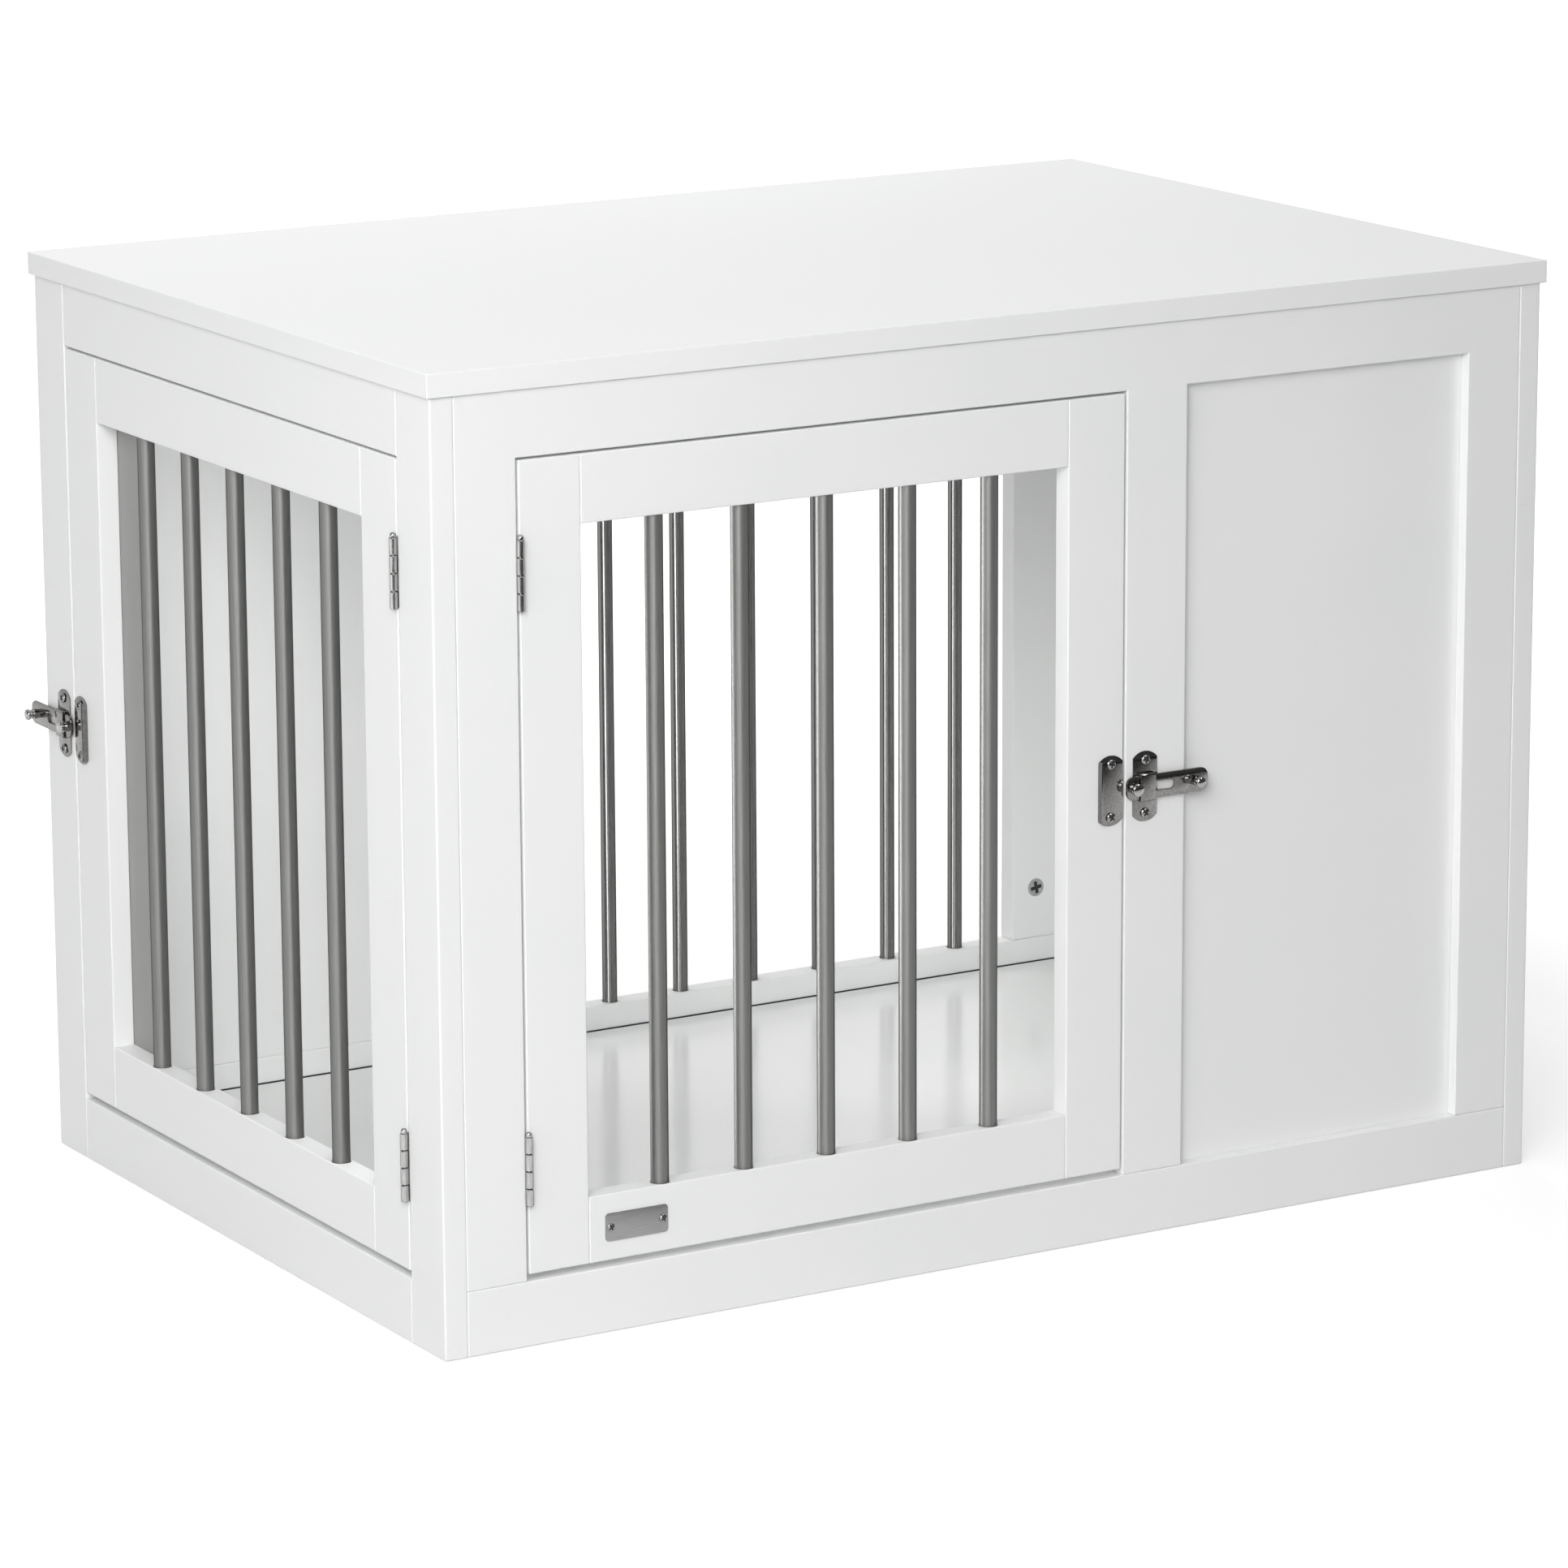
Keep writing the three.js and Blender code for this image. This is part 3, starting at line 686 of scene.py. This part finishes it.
def hinge(door, wall, which):
    """One hinge, as its frame leaf with the pin and its door leaf."""
    frame_leaf = f"{door}_{which}_hinge_frame_leaf"
    door_leaf = f"{door}_{which}_hinge_door_leaf"
    to_wall = WALLS[wall].inverted()
    low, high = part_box(door_leaf)
    corners = [to_wall @ low, to_wall @ high]
    bottom, top = low.z, high.z
    outer_y = min(c.y for c in corners)
    inner_y = max(c.y for c in corners)
    axis_x = sum(c.x for c in corners) / 2
    axis_y = outer_y + KNUCKLE_RADIUS
    pitch = (top - bottom) / KNUCKLES
    inner = PIN_RADIUS + PIN_PLAY
    side = 1 if wall == "front" else -1  # the door's side of the gap, along the wall
    for node, toward, first in ((frame_leaf, -side, 1), (door_leaf, side, 0)):
        near, far = sorted((axis_x + toward * LEAF_NEAR, axis_x + toward * LEAF_FAR))
        plate = bmesh.new()
        block(plate, (near, 0, bottom), (far, inner_y, top))
        ease(plate, LEAF_EASE, LEAF_STEPS)
        shapes = [bmesh.new(), plate]
        for i in range(first, KNUCKLES, 2):
            z0 = bottom + i * pitch + KNUCKLE_GAP / 2
            z1 = z0 + pitch - KNUCKLE_GAP
            knuckle = bmesh.new()
            turned(knuckle, [
                (inner, z0), (KNUCKLE_RADIUS - KNUCKLE_EASE, z0), (KNUCKLE_RADIUS, z0 + KNUCKLE_EASE),
                (KNUCKLE_RADIUS, z1 - KNUCKLE_EASE), (KNUCKLE_RADIUS - KNUCKLE_EASE, z1), (inner, z1),
            ], KNUCKLE_SIDES)
            bmesh.ops.translate(knuckle, vec=(axis_x, axis_y, 0), verts=knuckle.verts)
            block(knuckle, (near, axis_y + inner + TAB_CLEAR, z0), (far, TAB_REACH, z1))
            shapes.append(knuckle)
        if node == frame_leaf:
            pin = bmesh.new()
            turned(pin, [
                (0, bottom - PIN_POINT), (PIN_RADIUS, bottom - PIN_POINT / 2), (PIN_RADIUS, top), (0, top),
            ], PIN_SIDES)
            turned(pin, pin_head(top), PIN_SIDES)
            bmesh.ops.translate(pin, vec=(axis_x, axis_y, 0), verts=pin.verts)
            shapes.append(pin)
        shape = joined(shapes)
        bmesh.ops.transform(shape, matrix=WALLS[wall], verts=shape.verts)
        piece("bent_" + node, shape, hinge_steel, node_body(node), [node])
        for i in range(LEAF_SCREWS):
            z = bottom + (top - bottom) * (i + 0.5) / LEAF_SCREWS
            place = (
                WALLS[wall]
                @ Matrix.Translation((axis_x + toward * LEAF_FAR, inner_y * LEAF_SCREW_PLACE, z))
                @ Matrix.Rotation(-toward * math.pi / 2, 4, "Y")
            )
            screw(
                f"screw_{node}_{i + 1}", place, LEAF_SCREW_RADIUS, LEAF_SCREW_HEIGHT, i * LEAF_SCREW_TURN,
                node_body(node), bright_steel, LEAF_SCREW_RECESS,
            )


for which in ("upper", "lower"):
    hinge("front_door", "front", which)
    hinge("side_door", "side", which)


# ---------------------------------------------------------------- slide latches
# Pressed steel, plated dark nickel. The keeper on the door has a lip that stops the bolt, and
# the base on the frame has a strap over the bolt and a rivet in its slot. The bolt is a flat
# strip with a turned knob at each end. u runs from the door across its gap to the frame.
PLATE = 1.2 * MM
PLATE_EASE = 0.25 * MM
PLATE_LENGTH = 46.5 * MM
PLATE_RISE = 4.3 * MM
BOW = 0.7 * MM
BOW_CUTS = 14
PLATE_SCREW_SPACING = 35 * MM
PLATE_SCREW_RADIUS = 3.3 * MM
PLATE_SCREW_HEIGHT = 1.6 * MM
PLATE_SCREW_RECESS = 0.8 * MM
PLATE_SCREW_TURN = 0.4
RIM_STEPS = 2
RIM_ANGLE = math.radians(60)
SAME_POINT = 0.01 * MM
KEEPER_EDGE = 1.5 * MM
LIP_HEIGHT = 4.6 * MM
LIP_LENGTH = 40 * MM
LATCH_PLAY = 0.3 * MM
BOLT_THICKNESS = 2 * MM
BOLT_HEIGHT = 15.6 * MM
BOLT_CORNER = 5.5 * MM
BOLT_EASE = 0.3 * MM
BOLT_OVERLAP = 18.4 * MM
STRAP_WIDTH = 11.4 * MM
STRAP_BEND = 1.6 * MM  # the strap's outer and inner radius at its corners
STRAP_INNER_BEND = 0.4 * MM
STRAP_EASE = 0.2 * MM
BASE_WIDTH = 18.6 * MM
BOLT_CLEARANCE = 0.2 * MM
BOLT_TAIL = 22.7 * MM
SLOT_HEIGHT = 6.2 * MM
SLOT_REACH = 1 * MM  # how far the slot's cutter stands out of the bolt
RIVET_RADIUS = 2.5 * MM
RIVET_BEVEL = (0.5 * MM, 0.4 * MM)  # across and down
RIVET_SIDES = 24
NEAR_KNOB = {"radius": 4 * MM, "height": 6.5 * MM, "inset": 5.4 * MM}
FAR_KNOB = {"radius": 3.5 * MM, "height": 9.5 * MM, "inset": 10.5 * MM}
FOOT, COLLAR, FLARE = 0.86, 0.94, 1.04  # shares of a knob's radius
FOOT_TOP = 0.9 * MM
COLLAR_LOW = 1.3 * MM
GROOVE_LOW, GROOVE_HIGH, DOME_LOW = 0.5, 0.64, 0.86  # shares of a knob's height
GROOVE_SLOPE = 0.3 * MM
FLARE_SLOPE = 0.5 * MM
NECK = 0.8 * MM  # the groove's depth
KNOB_SIDES = 32
DOME_STEPS = 5
ARC_STEPS = 8
NICKEL_DARK = (0.19, 0.185, 0.18, 1)
NICKEL_LIGHT = (0.27, 0.265, 0.26, 1)
NICKEL_EDGE = (0.7, 0.7, 0.7, 1)
NICKEL_PITCH = (600, 600, 600)
NICKEL_DEPTH = 0.003 * MM
NICKEL_ROUGH = (0.1, 0.17)
TURNED_DARK = (0.30, 0.295, 0.29, 1)
TURNED_LIGHT = (0.42, 0.415, 0.41, 1)
TURNED_EDGE = (0.8, 0.8, 0.8, 1)
TURNED_PITCH = (900, 900, 900)
TURNED_DEPTH = 0.002 * MM
TURNED_ROUGH = (0.07, 0.12)
OUT_OF_WALL = Matrix.Rotation(math.pi / 2, 4, "X")  # turns +z to the wall's outward -y

dark_nickel = brushed_metal(
    "dark_nickel", NICKEL_DARK, NICKEL_LIGHT, NICKEL_EDGE, NICKEL_PITCH, NICKEL_DEPTH, NICKEL_ROUGH
)
turned_nickel = brushed_metal(
    "turned_nickel", TURNED_DARK, TURNED_LIGHT, TURNED_EDGE, TURNED_PITCH, TURNED_DEPTH, TURNED_ROUGH
)


def arc(centre, radius, start, end):
    """Points of an arc in the wall's x and z."""
    return [
        (centre[0] + radius * math.cos(start + (end - start) * i / ARC_STEPS),
         centre[1] + radius * math.sin(start + (end - start) * i / ARC_STEPS))
        for i in range(ARC_STEPS + 1)
    ]


def round_ended(u0, u1):
    """Outline of an upright plate whose ends rise to the middle in an arc."""
    half = (u1 - u0) / 2
    middle = (u0 + u1) / 2
    radius = (half * half + PLATE_RISE * PLATE_RISE) / (2 * PLATE_RISE)
    sweep = math.asin(half / radius)
    centre = PLATE_LENGTH / 2 - radius
    up = math.pi / 2
    return [
        *arc((middle, centre), radius, up - sweep, up + sweep),
        *arc((middle, -centre), radius, -up - sweep, -up + sweep),
    ]


def rounded(x, z, radius):
    """Outline of a rectangle with rounded corners, between x[0] and x[1] and z[0] and z[1]."""
    quarter = math.pi / 2
    return [
        *arc((x[1] - radius, z[0] + radius), radius, -quarter, 0),
        *arc((x[1] - radius, z[1] - radius), radius, 0, quarter),
        *arc((x[0] + radius, z[1] - radius), radius, quarter, 2 * quarter),
        *arc((x[0] + radius, z[0] + radius), radius, 2 * quarter, 3 * quarter),
    ]


def pressed(outline, y0, y1, easing):
    """A plate of an outline between two depths, with its rims eased, as a bmesh."""
    shape = bmesh.new()
    thickened(shape, [(x, y0, z) for x, z in outline], (0, y1 - y0, 0))
    bmesh.ops.remove_doubles(shape, verts=shape.verts, dist=SAME_POINT)
    bmesh.ops.recalc_face_normals(shape, faces=shape.faces)
    if easing:
        ease(shape, easing, RIM_STEPS, RIM_ANGLE)
    return shape


def bowed(shape):
    """Bends a latch plate back towards its ends, where its screws pull it in."""
    for i in range(1, BOW_CUTS):
        bmesh.ops.bisect_plane(
            shape, geom=[*shape.verts, *shape.edges, *shape.faces],
            plane_co=(0, 0, PLATE_LENGTH * (i / BOW_CUTS - 0.5)), plane_no=(0, 0, 1),
        )
    for vert in shape.verts:
        if vert.co.y < -PLATE / 2:
            vert.co.y += BOW * (2 * vert.co.z / PLATE_LENGTH) ** 2
    return shape


def knob(sizes, u, face):
    """A turned knob with a groove under its flared, domed head."""
    radius, height = sizes["radius"], sizes["height"]
    groove_low, groove_high = height * GROOVE_LOW, height * GROOVE_HIGH
    quarter = [math.pi / 2 * i / DOME_STEPS for i in range(DOME_STEPS + 1)]
    dome_low = height * DOME_LOW
    head = [(radius * FLARE * math.cos(a), dome_low + (height - dome_low) * math.sin(a)) for a in quarter]
    shape = bmesh.new()
    turned(shape, [
        (0, -BOLT_THICKNESS / 2), (radius * FOOT, -BOLT_THICKNESS / 2), (radius * FOOT, FOOT_TOP),
        (radius * COLLAR, COLLAR_LOW), (radius * COLLAR, groove_low),
        (radius - NECK, groove_low + GROOVE_SLOPE), (radius - NECK, groove_high),
        (radius * FLARE, groove_high + FLARE_SLOPE), *head,
    ], KNOB_SIDES)
    bmesh.ops.transform(
        shape, matrix=Matrix.Translation((u, -face, 0)) @ OUT_OF_WALL, verts=shape.verts
    )
    for side in shape.faces:
        side.material_index = 1
    return shape


def latch(name, wall, gap_x, turn, bolt_body):
    """One latch: its keeper, its base with the strap and the rivet, its bolt and their screws."""
    height = (opening_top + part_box("front_bottom_rail")[1].z) / 2
    place = WALLS[wall] @ Matrix.Translation((gap_x, 0, height)) @ Matrix.Rotation(turn, 4, "Y")
    bolt_back = PLATE + LATCH_PLAY
    bolt_face = bolt_back + BOLT_THICKNESS
    strap_u = BOLT_CLEARANCE + NEAR_KNOB["inset"] + NEAR_KNOB["radius"] + LATCH_PLAY
    strap_middle = strap_u + STRAP_WIDTH / 2
    travel = BOLT_OVERLAP + BOLT_CLEARANCE

    def fit(shapes, node, body):
        shape = joined(shapes)
        bmesh.ops.transform(shape, matrix=place, verts=shape.verts)
        made = piece("pressed_" + node, shape, dark_nickel, body, [node])
        made.data.materials.append(turned_nickel)

    lip_inside = -BOLT_OVERLAP - LATCH_PLAY
    lip_outside = lip_inside - PLATE
    keeper = bowed(pressed(round_ended(lip_outside, -KEEPER_EDGE), -PLATE, 0, PLATE_EASE))
    lip = bmesh.new()
    block(lip, (lip_outside, -LIP_HEIGHT, -LIP_LENGTH / 2), (lip_inside, -PLATE / 2, LIP_LENGTH / 2))
    ease(lip, PLATE_EASE, RIM_STEPS)
    keeper_node = name + "_keeper"
    fit([keeper, lip], keeper_node, node_body(keeper_node))

    base_ends = (strap_middle - BASE_WIDTH / 2, strap_middle + BASE_WIDTH / 2)
    base = bowed(pressed(round_ended(*base_ends), -PLATE, 0, PLATE_EASE))
    leg = BOLT_HEIGHT / 2 + LATCH_PLAY + PLATE
    strap_top = bolt_face + LATCH_PLAY + PLATE
    outer, outer_top = leg - STRAP_BEND, strap_top - STRAP_BEND
    inner, inner_top = leg - PLATE - STRAP_INNER_BEND, strap_top - PLATE - STRAP_INNER_BEND
    bend = [
        *arc((outer, outer_top), STRAP_BEND, 0, math.pi / 2),
        *arc((-outer, outer_top), STRAP_BEND, math.pi / 2, math.pi),
        (-leg, PLATE / 2), (-leg + PLATE, PLATE / 2),
        *arc((-inner, inner_top), STRAP_INNER_BEND, math.pi, math.pi / 2),
        *arc((inner, inner_top), STRAP_INNER_BEND, math.pi / 2, 0),
        (leg - PLATE, PLATE / 2), (leg, PLATE / 2),
    ]
    strap = bmesh.new()
    thickened(strap, [(strap_u, -out, z) for z, out in bend], (STRAP_WIDTH, 0, 0))
    bmesh.ops.recalc_face_normals(strap, faces=strap.faces)
    ease(strap, STRAP_EASE, RIM_STEPS, RIM_ANGLE)
    rivet = bmesh.new()
    turned(rivet, [
        (0, 0), (RIVET_RADIUS, 0), (RIVET_RADIUS, bolt_face - RIVET_BEVEL[1]),
        (RIVET_RADIUS - RIVET_BEVEL[0], bolt_face), (0, bolt_face),
    ], RIVET_SIDES)
    standing = Matrix.Translation((strap_middle, 0, 0)) @ OUT_OF_WALL
    bmesh.ops.transform(rivet, matrix=standing, verts=rivet.verts)
    base_node = name + "_base"
    fit([base, strap, rivet], base_node, node_body(base_node))

    bolt_end = strap_u + STRAP_WIDTH + BOLT_TAIL + travel
    strip = pressed(
        rounded((BOLT_CLEARANCE, bolt_end), (-BOLT_HEIGHT / 2, BOLT_HEIGHT / 2), BOLT_CORNER),
        -bolt_face, -bolt_back, BOLT_EASE,
    )
    slot_u = (strap_middle - RIVET_RADIUS - LATCH_PLAY, strap_middle + RIVET_RADIUS + LATCH_PLAY + travel)
    slot = pressed(
        rounded(slot_u, (-SLOT_HEIGHT / 2, SLOT_HEIGHT / 2), SLOT_HEIGHT / 2 - SAME_POINT),
        -bolt_face - SLOT_REACH, -bolt_back + SLOT_REACH, 0,
    )
    carve_bmesh(strip, slot)
    fit(
        [strip, knob(NEAR_KNOB, BOLT_CLEARANCE + NEAR_KNOB["inset"], bolt_face),
         knob(FAR_KNOB, bolt_end - FAR_KNOB["inset"], bolt_face)],
        name + "_bolt", bolt_body,
    )

    for node, u in ((keeper_node, (lip_outside - KEEPER_EDGE) / 2), (base_node, strap_middle)):
        for which, sign in (("upper", 1), ("lower", -1)):
            at = place @ Matrix.Translation((u, -PLATE, sign * PLATE_SCREW_SPACING / 2)) @ OUT_OF_WALL
            screw(
                f"{which}_screw_{node}", at, PLATE_SCREW_RADIUS, PLATE_SCREW_HEIGHT,
                PLATE_SCREW_TURN + sign, node_body(node), bright_steel, PLATE_SCREW_RECESS,
            )


half_gap = DOORWAY_GAP / 2
latch("front_latch", "front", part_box("front_door_right_stile")[1].x + half_gap, 0, "front_bolt")
latch("side_latch", "side", -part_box("side_door_left_stile")[1].y - half_gap, math.pi, "side_bolt")


# ---------------------------------------------------------------- name plate
# A small plate of brushed steel with rounded corners, left blank. A screw at each end holds it
# to the front door's bottom rail.
NAME_CORNER = 2.5 * MM
NAME_EASE = 0.25 * MM
NAME_SCREW_INSET = 3.6 * MM
NAME_SCREW_RADIUS = 2.7 * MM
NAME_SCREW_HEIGHT = 1.2 * MM
NAME_SCREW_RECESS = 0.5 * MM
NAME_SCREW_TURN = 0.5
NAME_DARK = (0.30, 0.30, 0.30, 1)
NAME_LIGHT = (0.38, 0.38, 0.38, 1)
NAME_EDGE = (0.6, 0.6, 0.6, 1)
NAME_PITCH = (60, 60, 2600)  # brushed from end to end
NAME_DEPTH = 0.002 * MM
NAME_ROUGH = (0.36, 0.44)

brushed_plate = brushed_metal(
    "brushed_plate", NAME_DARK, NAME_LIGHT, NAME_EDGE, NAME_PITCH, NAME_DEPTH, NAME_ROUGH
)
plate_low, plate_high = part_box("name_plate")
outline = rounded((plate_low.x, plate_high.x), (plate_low.z, plate_high.z), NAME_CORNER)
shape = pressed(outline, plate_low.y, plate_high.y, NAME_EASE)
piece("blank_name_plate", shape, brushed_plate, "front_door", ["name_plate"])
for which, x in (("left", plate_low.x + NAME_SCREW_INSET), ("right", plate_high.x - NAME_SCREW_INSET)):
    at = Matrix.Translation((x, plate_low.y, (plate_low.z + plate_high.z) / 2)) @ OUT_OF_WALL
    screw(
        "plate_screw_" + which, at, NAME_SCREW_RADIUS, NAME_SCREW_HEIGHT, NAME_SCREW_TURN,
        "front_door", bright_steel, NAME_SCREW_RECESS,
    )


# ---------------------------------------------------------------- corner fittings
# Round cam nuts with a cross slot, sunk into the inner faces of the front and back frames' end
# stiles. Turned with a screwdriver, each draws the side's post tight against the frame.
CAM_RADIUS = 6.8 * MM
CAM_HEIGHT = 0.8 * MM
CAM_INSET = 22 * MM  # from the side's inner face
CAM_FROM_RAIL = 38 * MM  # above the bottom rail and below the top rail
CAM_RECESS = 0.6 * MM
CAM_TURN = 0.2
ZINC_DARK = (0.42, 0.42, 0.42, 1)
ZINC_LIGHT = (0.55, 0.55, 0.55, 1)
ZINC_EDGE = (0.7, 0.7, 0.7, 1)
ZINC_PITCH = (1200, 1200, 1200)
ZINC_DEPTH = 0.02 * MM
ZINC_ROUGH = (0.45, 0.6)

cast_zinc = brushed_metal("cast_zinc", ZINC_DARK, ZINC_LIGHT, ZINC_EDGE, ZINC_PITCH, ZINC_DEPTH, ZINC_ROUGH)

inner_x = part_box("left_front_post")[1].x
cam_walls = (("front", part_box("front_frame")[1].y, 1), ("back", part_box("back_frame")[0].y, -1))
cam_levels = (
    ("lower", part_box("front_bottom_rail")[1].z + CAM_FROM_RAIL),
    ("upper", opening_top - CAM_FROM_RAIL),
)
for wall_name, y, facing in cam_walls:
    for side_name, sign in (("left", 1), ("right", -1)):
        for level, z in cam_levels:
            at = (
                Matrix.Translation((sign * (inner_x + CAM_INSET), y, z))
                @ Matrix.Rotation(-facing * math.pi / 2, 4, "X")
            )
            # The cam's cross slot is painted near black as shade, like the screws'.
            screw(
                f"{wall_name}_{side_name}_{level}_cam", at, CAM_RADIUS, CAM_HEIGHT, CAM_TURN, "carcass",
                cast_zinc, CAM_RECESS,
            )


# ---------------------------------------------------------------- studio
# A white studio: the crate stands on pale paper under an even sky. Behind it all is white. The
# room in front is dim past the end of the paper, so that the metal has something to reflect.
SKY = (0.27, 0.16)  # from the left and from the right
SKY_TURN = (-0.5, 0.5)  # the x of a direction, from left to right
ROOM = 0.12
ROOM_EDGE = (0.2, 0.7)  # the y of a direction, from the dim room to the white backdrop
PAPER = (0.62, 0.62, 0.62, 1)
PAPER_BEYOND = (0.1, 0.1, 0.1, 1)
PAPER_ROUGH = 0.9
PAPER_FRONT = (-1.9, -0.9)  # where the paper fades into the room
PAPER_LIFT = (0.5, 1)  # added to the paper where it is seen, near the crate and away from it
PAPER_REACH = (0.7, 1.6)
PAPER_SIZE = 8
PAPER_DROP = 0.2 * MM


def ranged(tree, value, source, target):
    """Maps a value from one range to another."""
    node = tree.nodes.new("ShaderNodeMapRange")
    node.inputs["From Min"].default_value, node.inputs["From Max"].default_value = source
    node.inputs["To Min"].default_value, node.inputs["To Max"].default_value = target
    tree.links.new(value, node.inputs["Value"])
    return node.outputs["Result"]


def combined(tree, operation, first, second):
    """The result of a Math node on two values."""
    node = tree.nodes.new("ShaderNodeMath")
    node.operation = operation
    for value, socket in zip((first, second), node.inputs):
        if isinstance(value, (int, float)):
            socket.default_value = value
        else:
            tree.links.new(value, socket)
    return node.outputs["Value"]


def either_of(tree, factor, low, high):
    """low where the factor is 0, and high where it is 1."""
    node = tree.nodes.new("ShaderNodeMix")
    tree.links.new(factor, node.inputs["Factor"])
    for value, socket in ((low, node.inputs["A"]), (high, node.inputs["B"])):
        if isinstance(value, (int, float)):
            socket.default_value = value
        else:
            tree.links.new(value, socket)
    return node.outputs["Result"]


def along(tree, place, axis):
    """One coordinate of a place or a direction."""
    split = tree.nodes.new("ShaderNodeSeparateXYZ")
    tree.links.new(place, split.inputs[0])
    return split.outputs[axis]


world = bpy.data.worlds.new("studio")
bpy.context.scene.world = world
world.use_nodes = True
tree = world.node_tree
sky = tree.nodes["Background"]
sky.inputs["Color"].default_value = (1, 1, 1, 1)
rays = tree.nodes.new("ShaderNodeLightPath")
direction = tree.nodes.new("ShaderNodeTexCoord").outputs["Generated"]
seen = combined(tree, "MAXIMUM", rays.outputs["Is Camera Ray"], rays.outputs["Is Transmission Ray"])
room = ranged(tree, along(tree, direction, "Y"), ROOM_EDGE, (ROOM, 1))
even = ranged(tree, along(tree, direction, "X"), SKY_TURN, SKY)
plain = either_of(tree, seen, even, 1.0)
tree.links.new(either_of(tree, rays.outputs["Is Glossy Ray"], plain, room), sky.inputs["Strength"])

shape = bmesh.new()
bmesh.ops.create_grid(shape, x_segments=1, y_segments=1, size=PAPER_SIZE)
bmesh.ops.translate(shape, vec=(0, 0, -PAPER_DROP), verts=shape.verts)
paper, tree, shader = material("white_paper")
shader.inputs["Roughness"].default_value = PAPER_ROUGH
shader.inputs["Specular IOR Level"].default_value = 0
shader.inputs["Emission Color"].default_value = (1, 1, 1, 1)
rays = tree.nodes.new("ShaderNodeLightPath")
place = tree.nodes.new("ShaderNodeTexCoord").outputs["Object"]
distance = tree.nodes.new("ShaderNodeVectorMath")
distance.operation = "LENGTH"
tree.links.new(place, distance.inputs[0])
front = ranged(tree, along(tree, place, "Y"), PAPER_FRONT, (0, 1))
lift = ranged(tree, distance.outputs["Value"], PAPER_REACH, PAPER_LIFT)
seen = combined(tree, "MAXIMUM", rays.outputs["Is Camera Ray"], rays.outputs["Is Transmission Ray"])
mirrored = combined(tree, "MULTIPLY", rays.outputs["Is Glossy Ray"], front)
seen = combined(tree, "MAXIMUM", seen, mirrored)
tree.links.new(combined(tree, "MULTIPLY", seen, lift), shader.inputs["Emission Strength"])
tree.links.new(blended(tree, front, PAPER_BEYOND, PAPER), shader.inputs["Base Color"])
ground_mesh = bpy.data.meshes.new("studio_floor")
shape.to_mesh(ground_mesh)
shape.free()
ground_mesh.materials.append(paper)
ground = bpy.data.objects.new("studio_floor", ground_mesh)
bpy.context.scene.collection.objects.link(ground)

# The lamps: name, place, aimed at, size, power in watts, and whether each lights matt surfaces
# and whether it shines in glossy ones.
LAMPS = (
    ("key", (-1.7, -1.9, 1.7), (0, 0, 0.3), (1.4, 1.4), 35, True, True),
    ("top", (0.3, 0, 2.8), (0.1, 0, 0.6), (2.4, 2.4), 20, True, True),
    ("left", (-2.8, -0.9, 0.8), (0, 0, 0.3), (1.6, 1.2), 9, True, True),
    ("viewer", (-1.9, -3.1, 1.5), (0, 0, 0.3), (1.6, 1.2), 41, True, True),
    ("back", (0.1, 1.7, 1.5), (0, 0, 0.1), (2.0, 0.8), 20, True, False),
    ("cabin", (0.16, -0.06, 0.2), (0.36, 0.27, 0.12), (0.2, 0.16), 0.1, True, False),
    ("cabin_left", (-0.33, -0.22, 0.3), (-0.36, 1, 0.3), (0.16, 0.4), 0.45, True, False),
    ("cabin_edge", (-0.34, 0.12, 0.38), (-0.34, 1, 0.38), (0.05, 0.36), 0.05, True, False),
    ("cabin_strip", (-0.36, -0.05, 0.3), (0.4, 0.03, 0.3), (0.12, 0.54), 2.3, False, True),
    ("strip", (-2.4, -2.6, 1.0), (0, 0, 0.3), (0.15, 2.0), 8, False, True),
    ("glint", (1.2, -2.2, 2.4), (0, 0, 0.3), (0.5, 0.5), 22, False, True),
)
for name, place, aim, size, power, matt, glossy in LAMPS:
    lamp = bpy.data.objects.new(name, bpy.data.lights.new(name, "AREA"))
    lamp.data.shape = "RECTANGLE"
    lamp.data.size, lamp.data.size_y = size
    lamp.data.energy = power
    lamp.location = place
    lamp.rotation_euler = (Vector(aim) - Vector(place)).to_track_quat("-Z", "Y").to_euler()
    lamp.visible_camera = False
    lamp.visible_diffuse = matt
    lamp.visible_glossy = glossy
    bpy.context.scene.collection.objects.link(lamp)
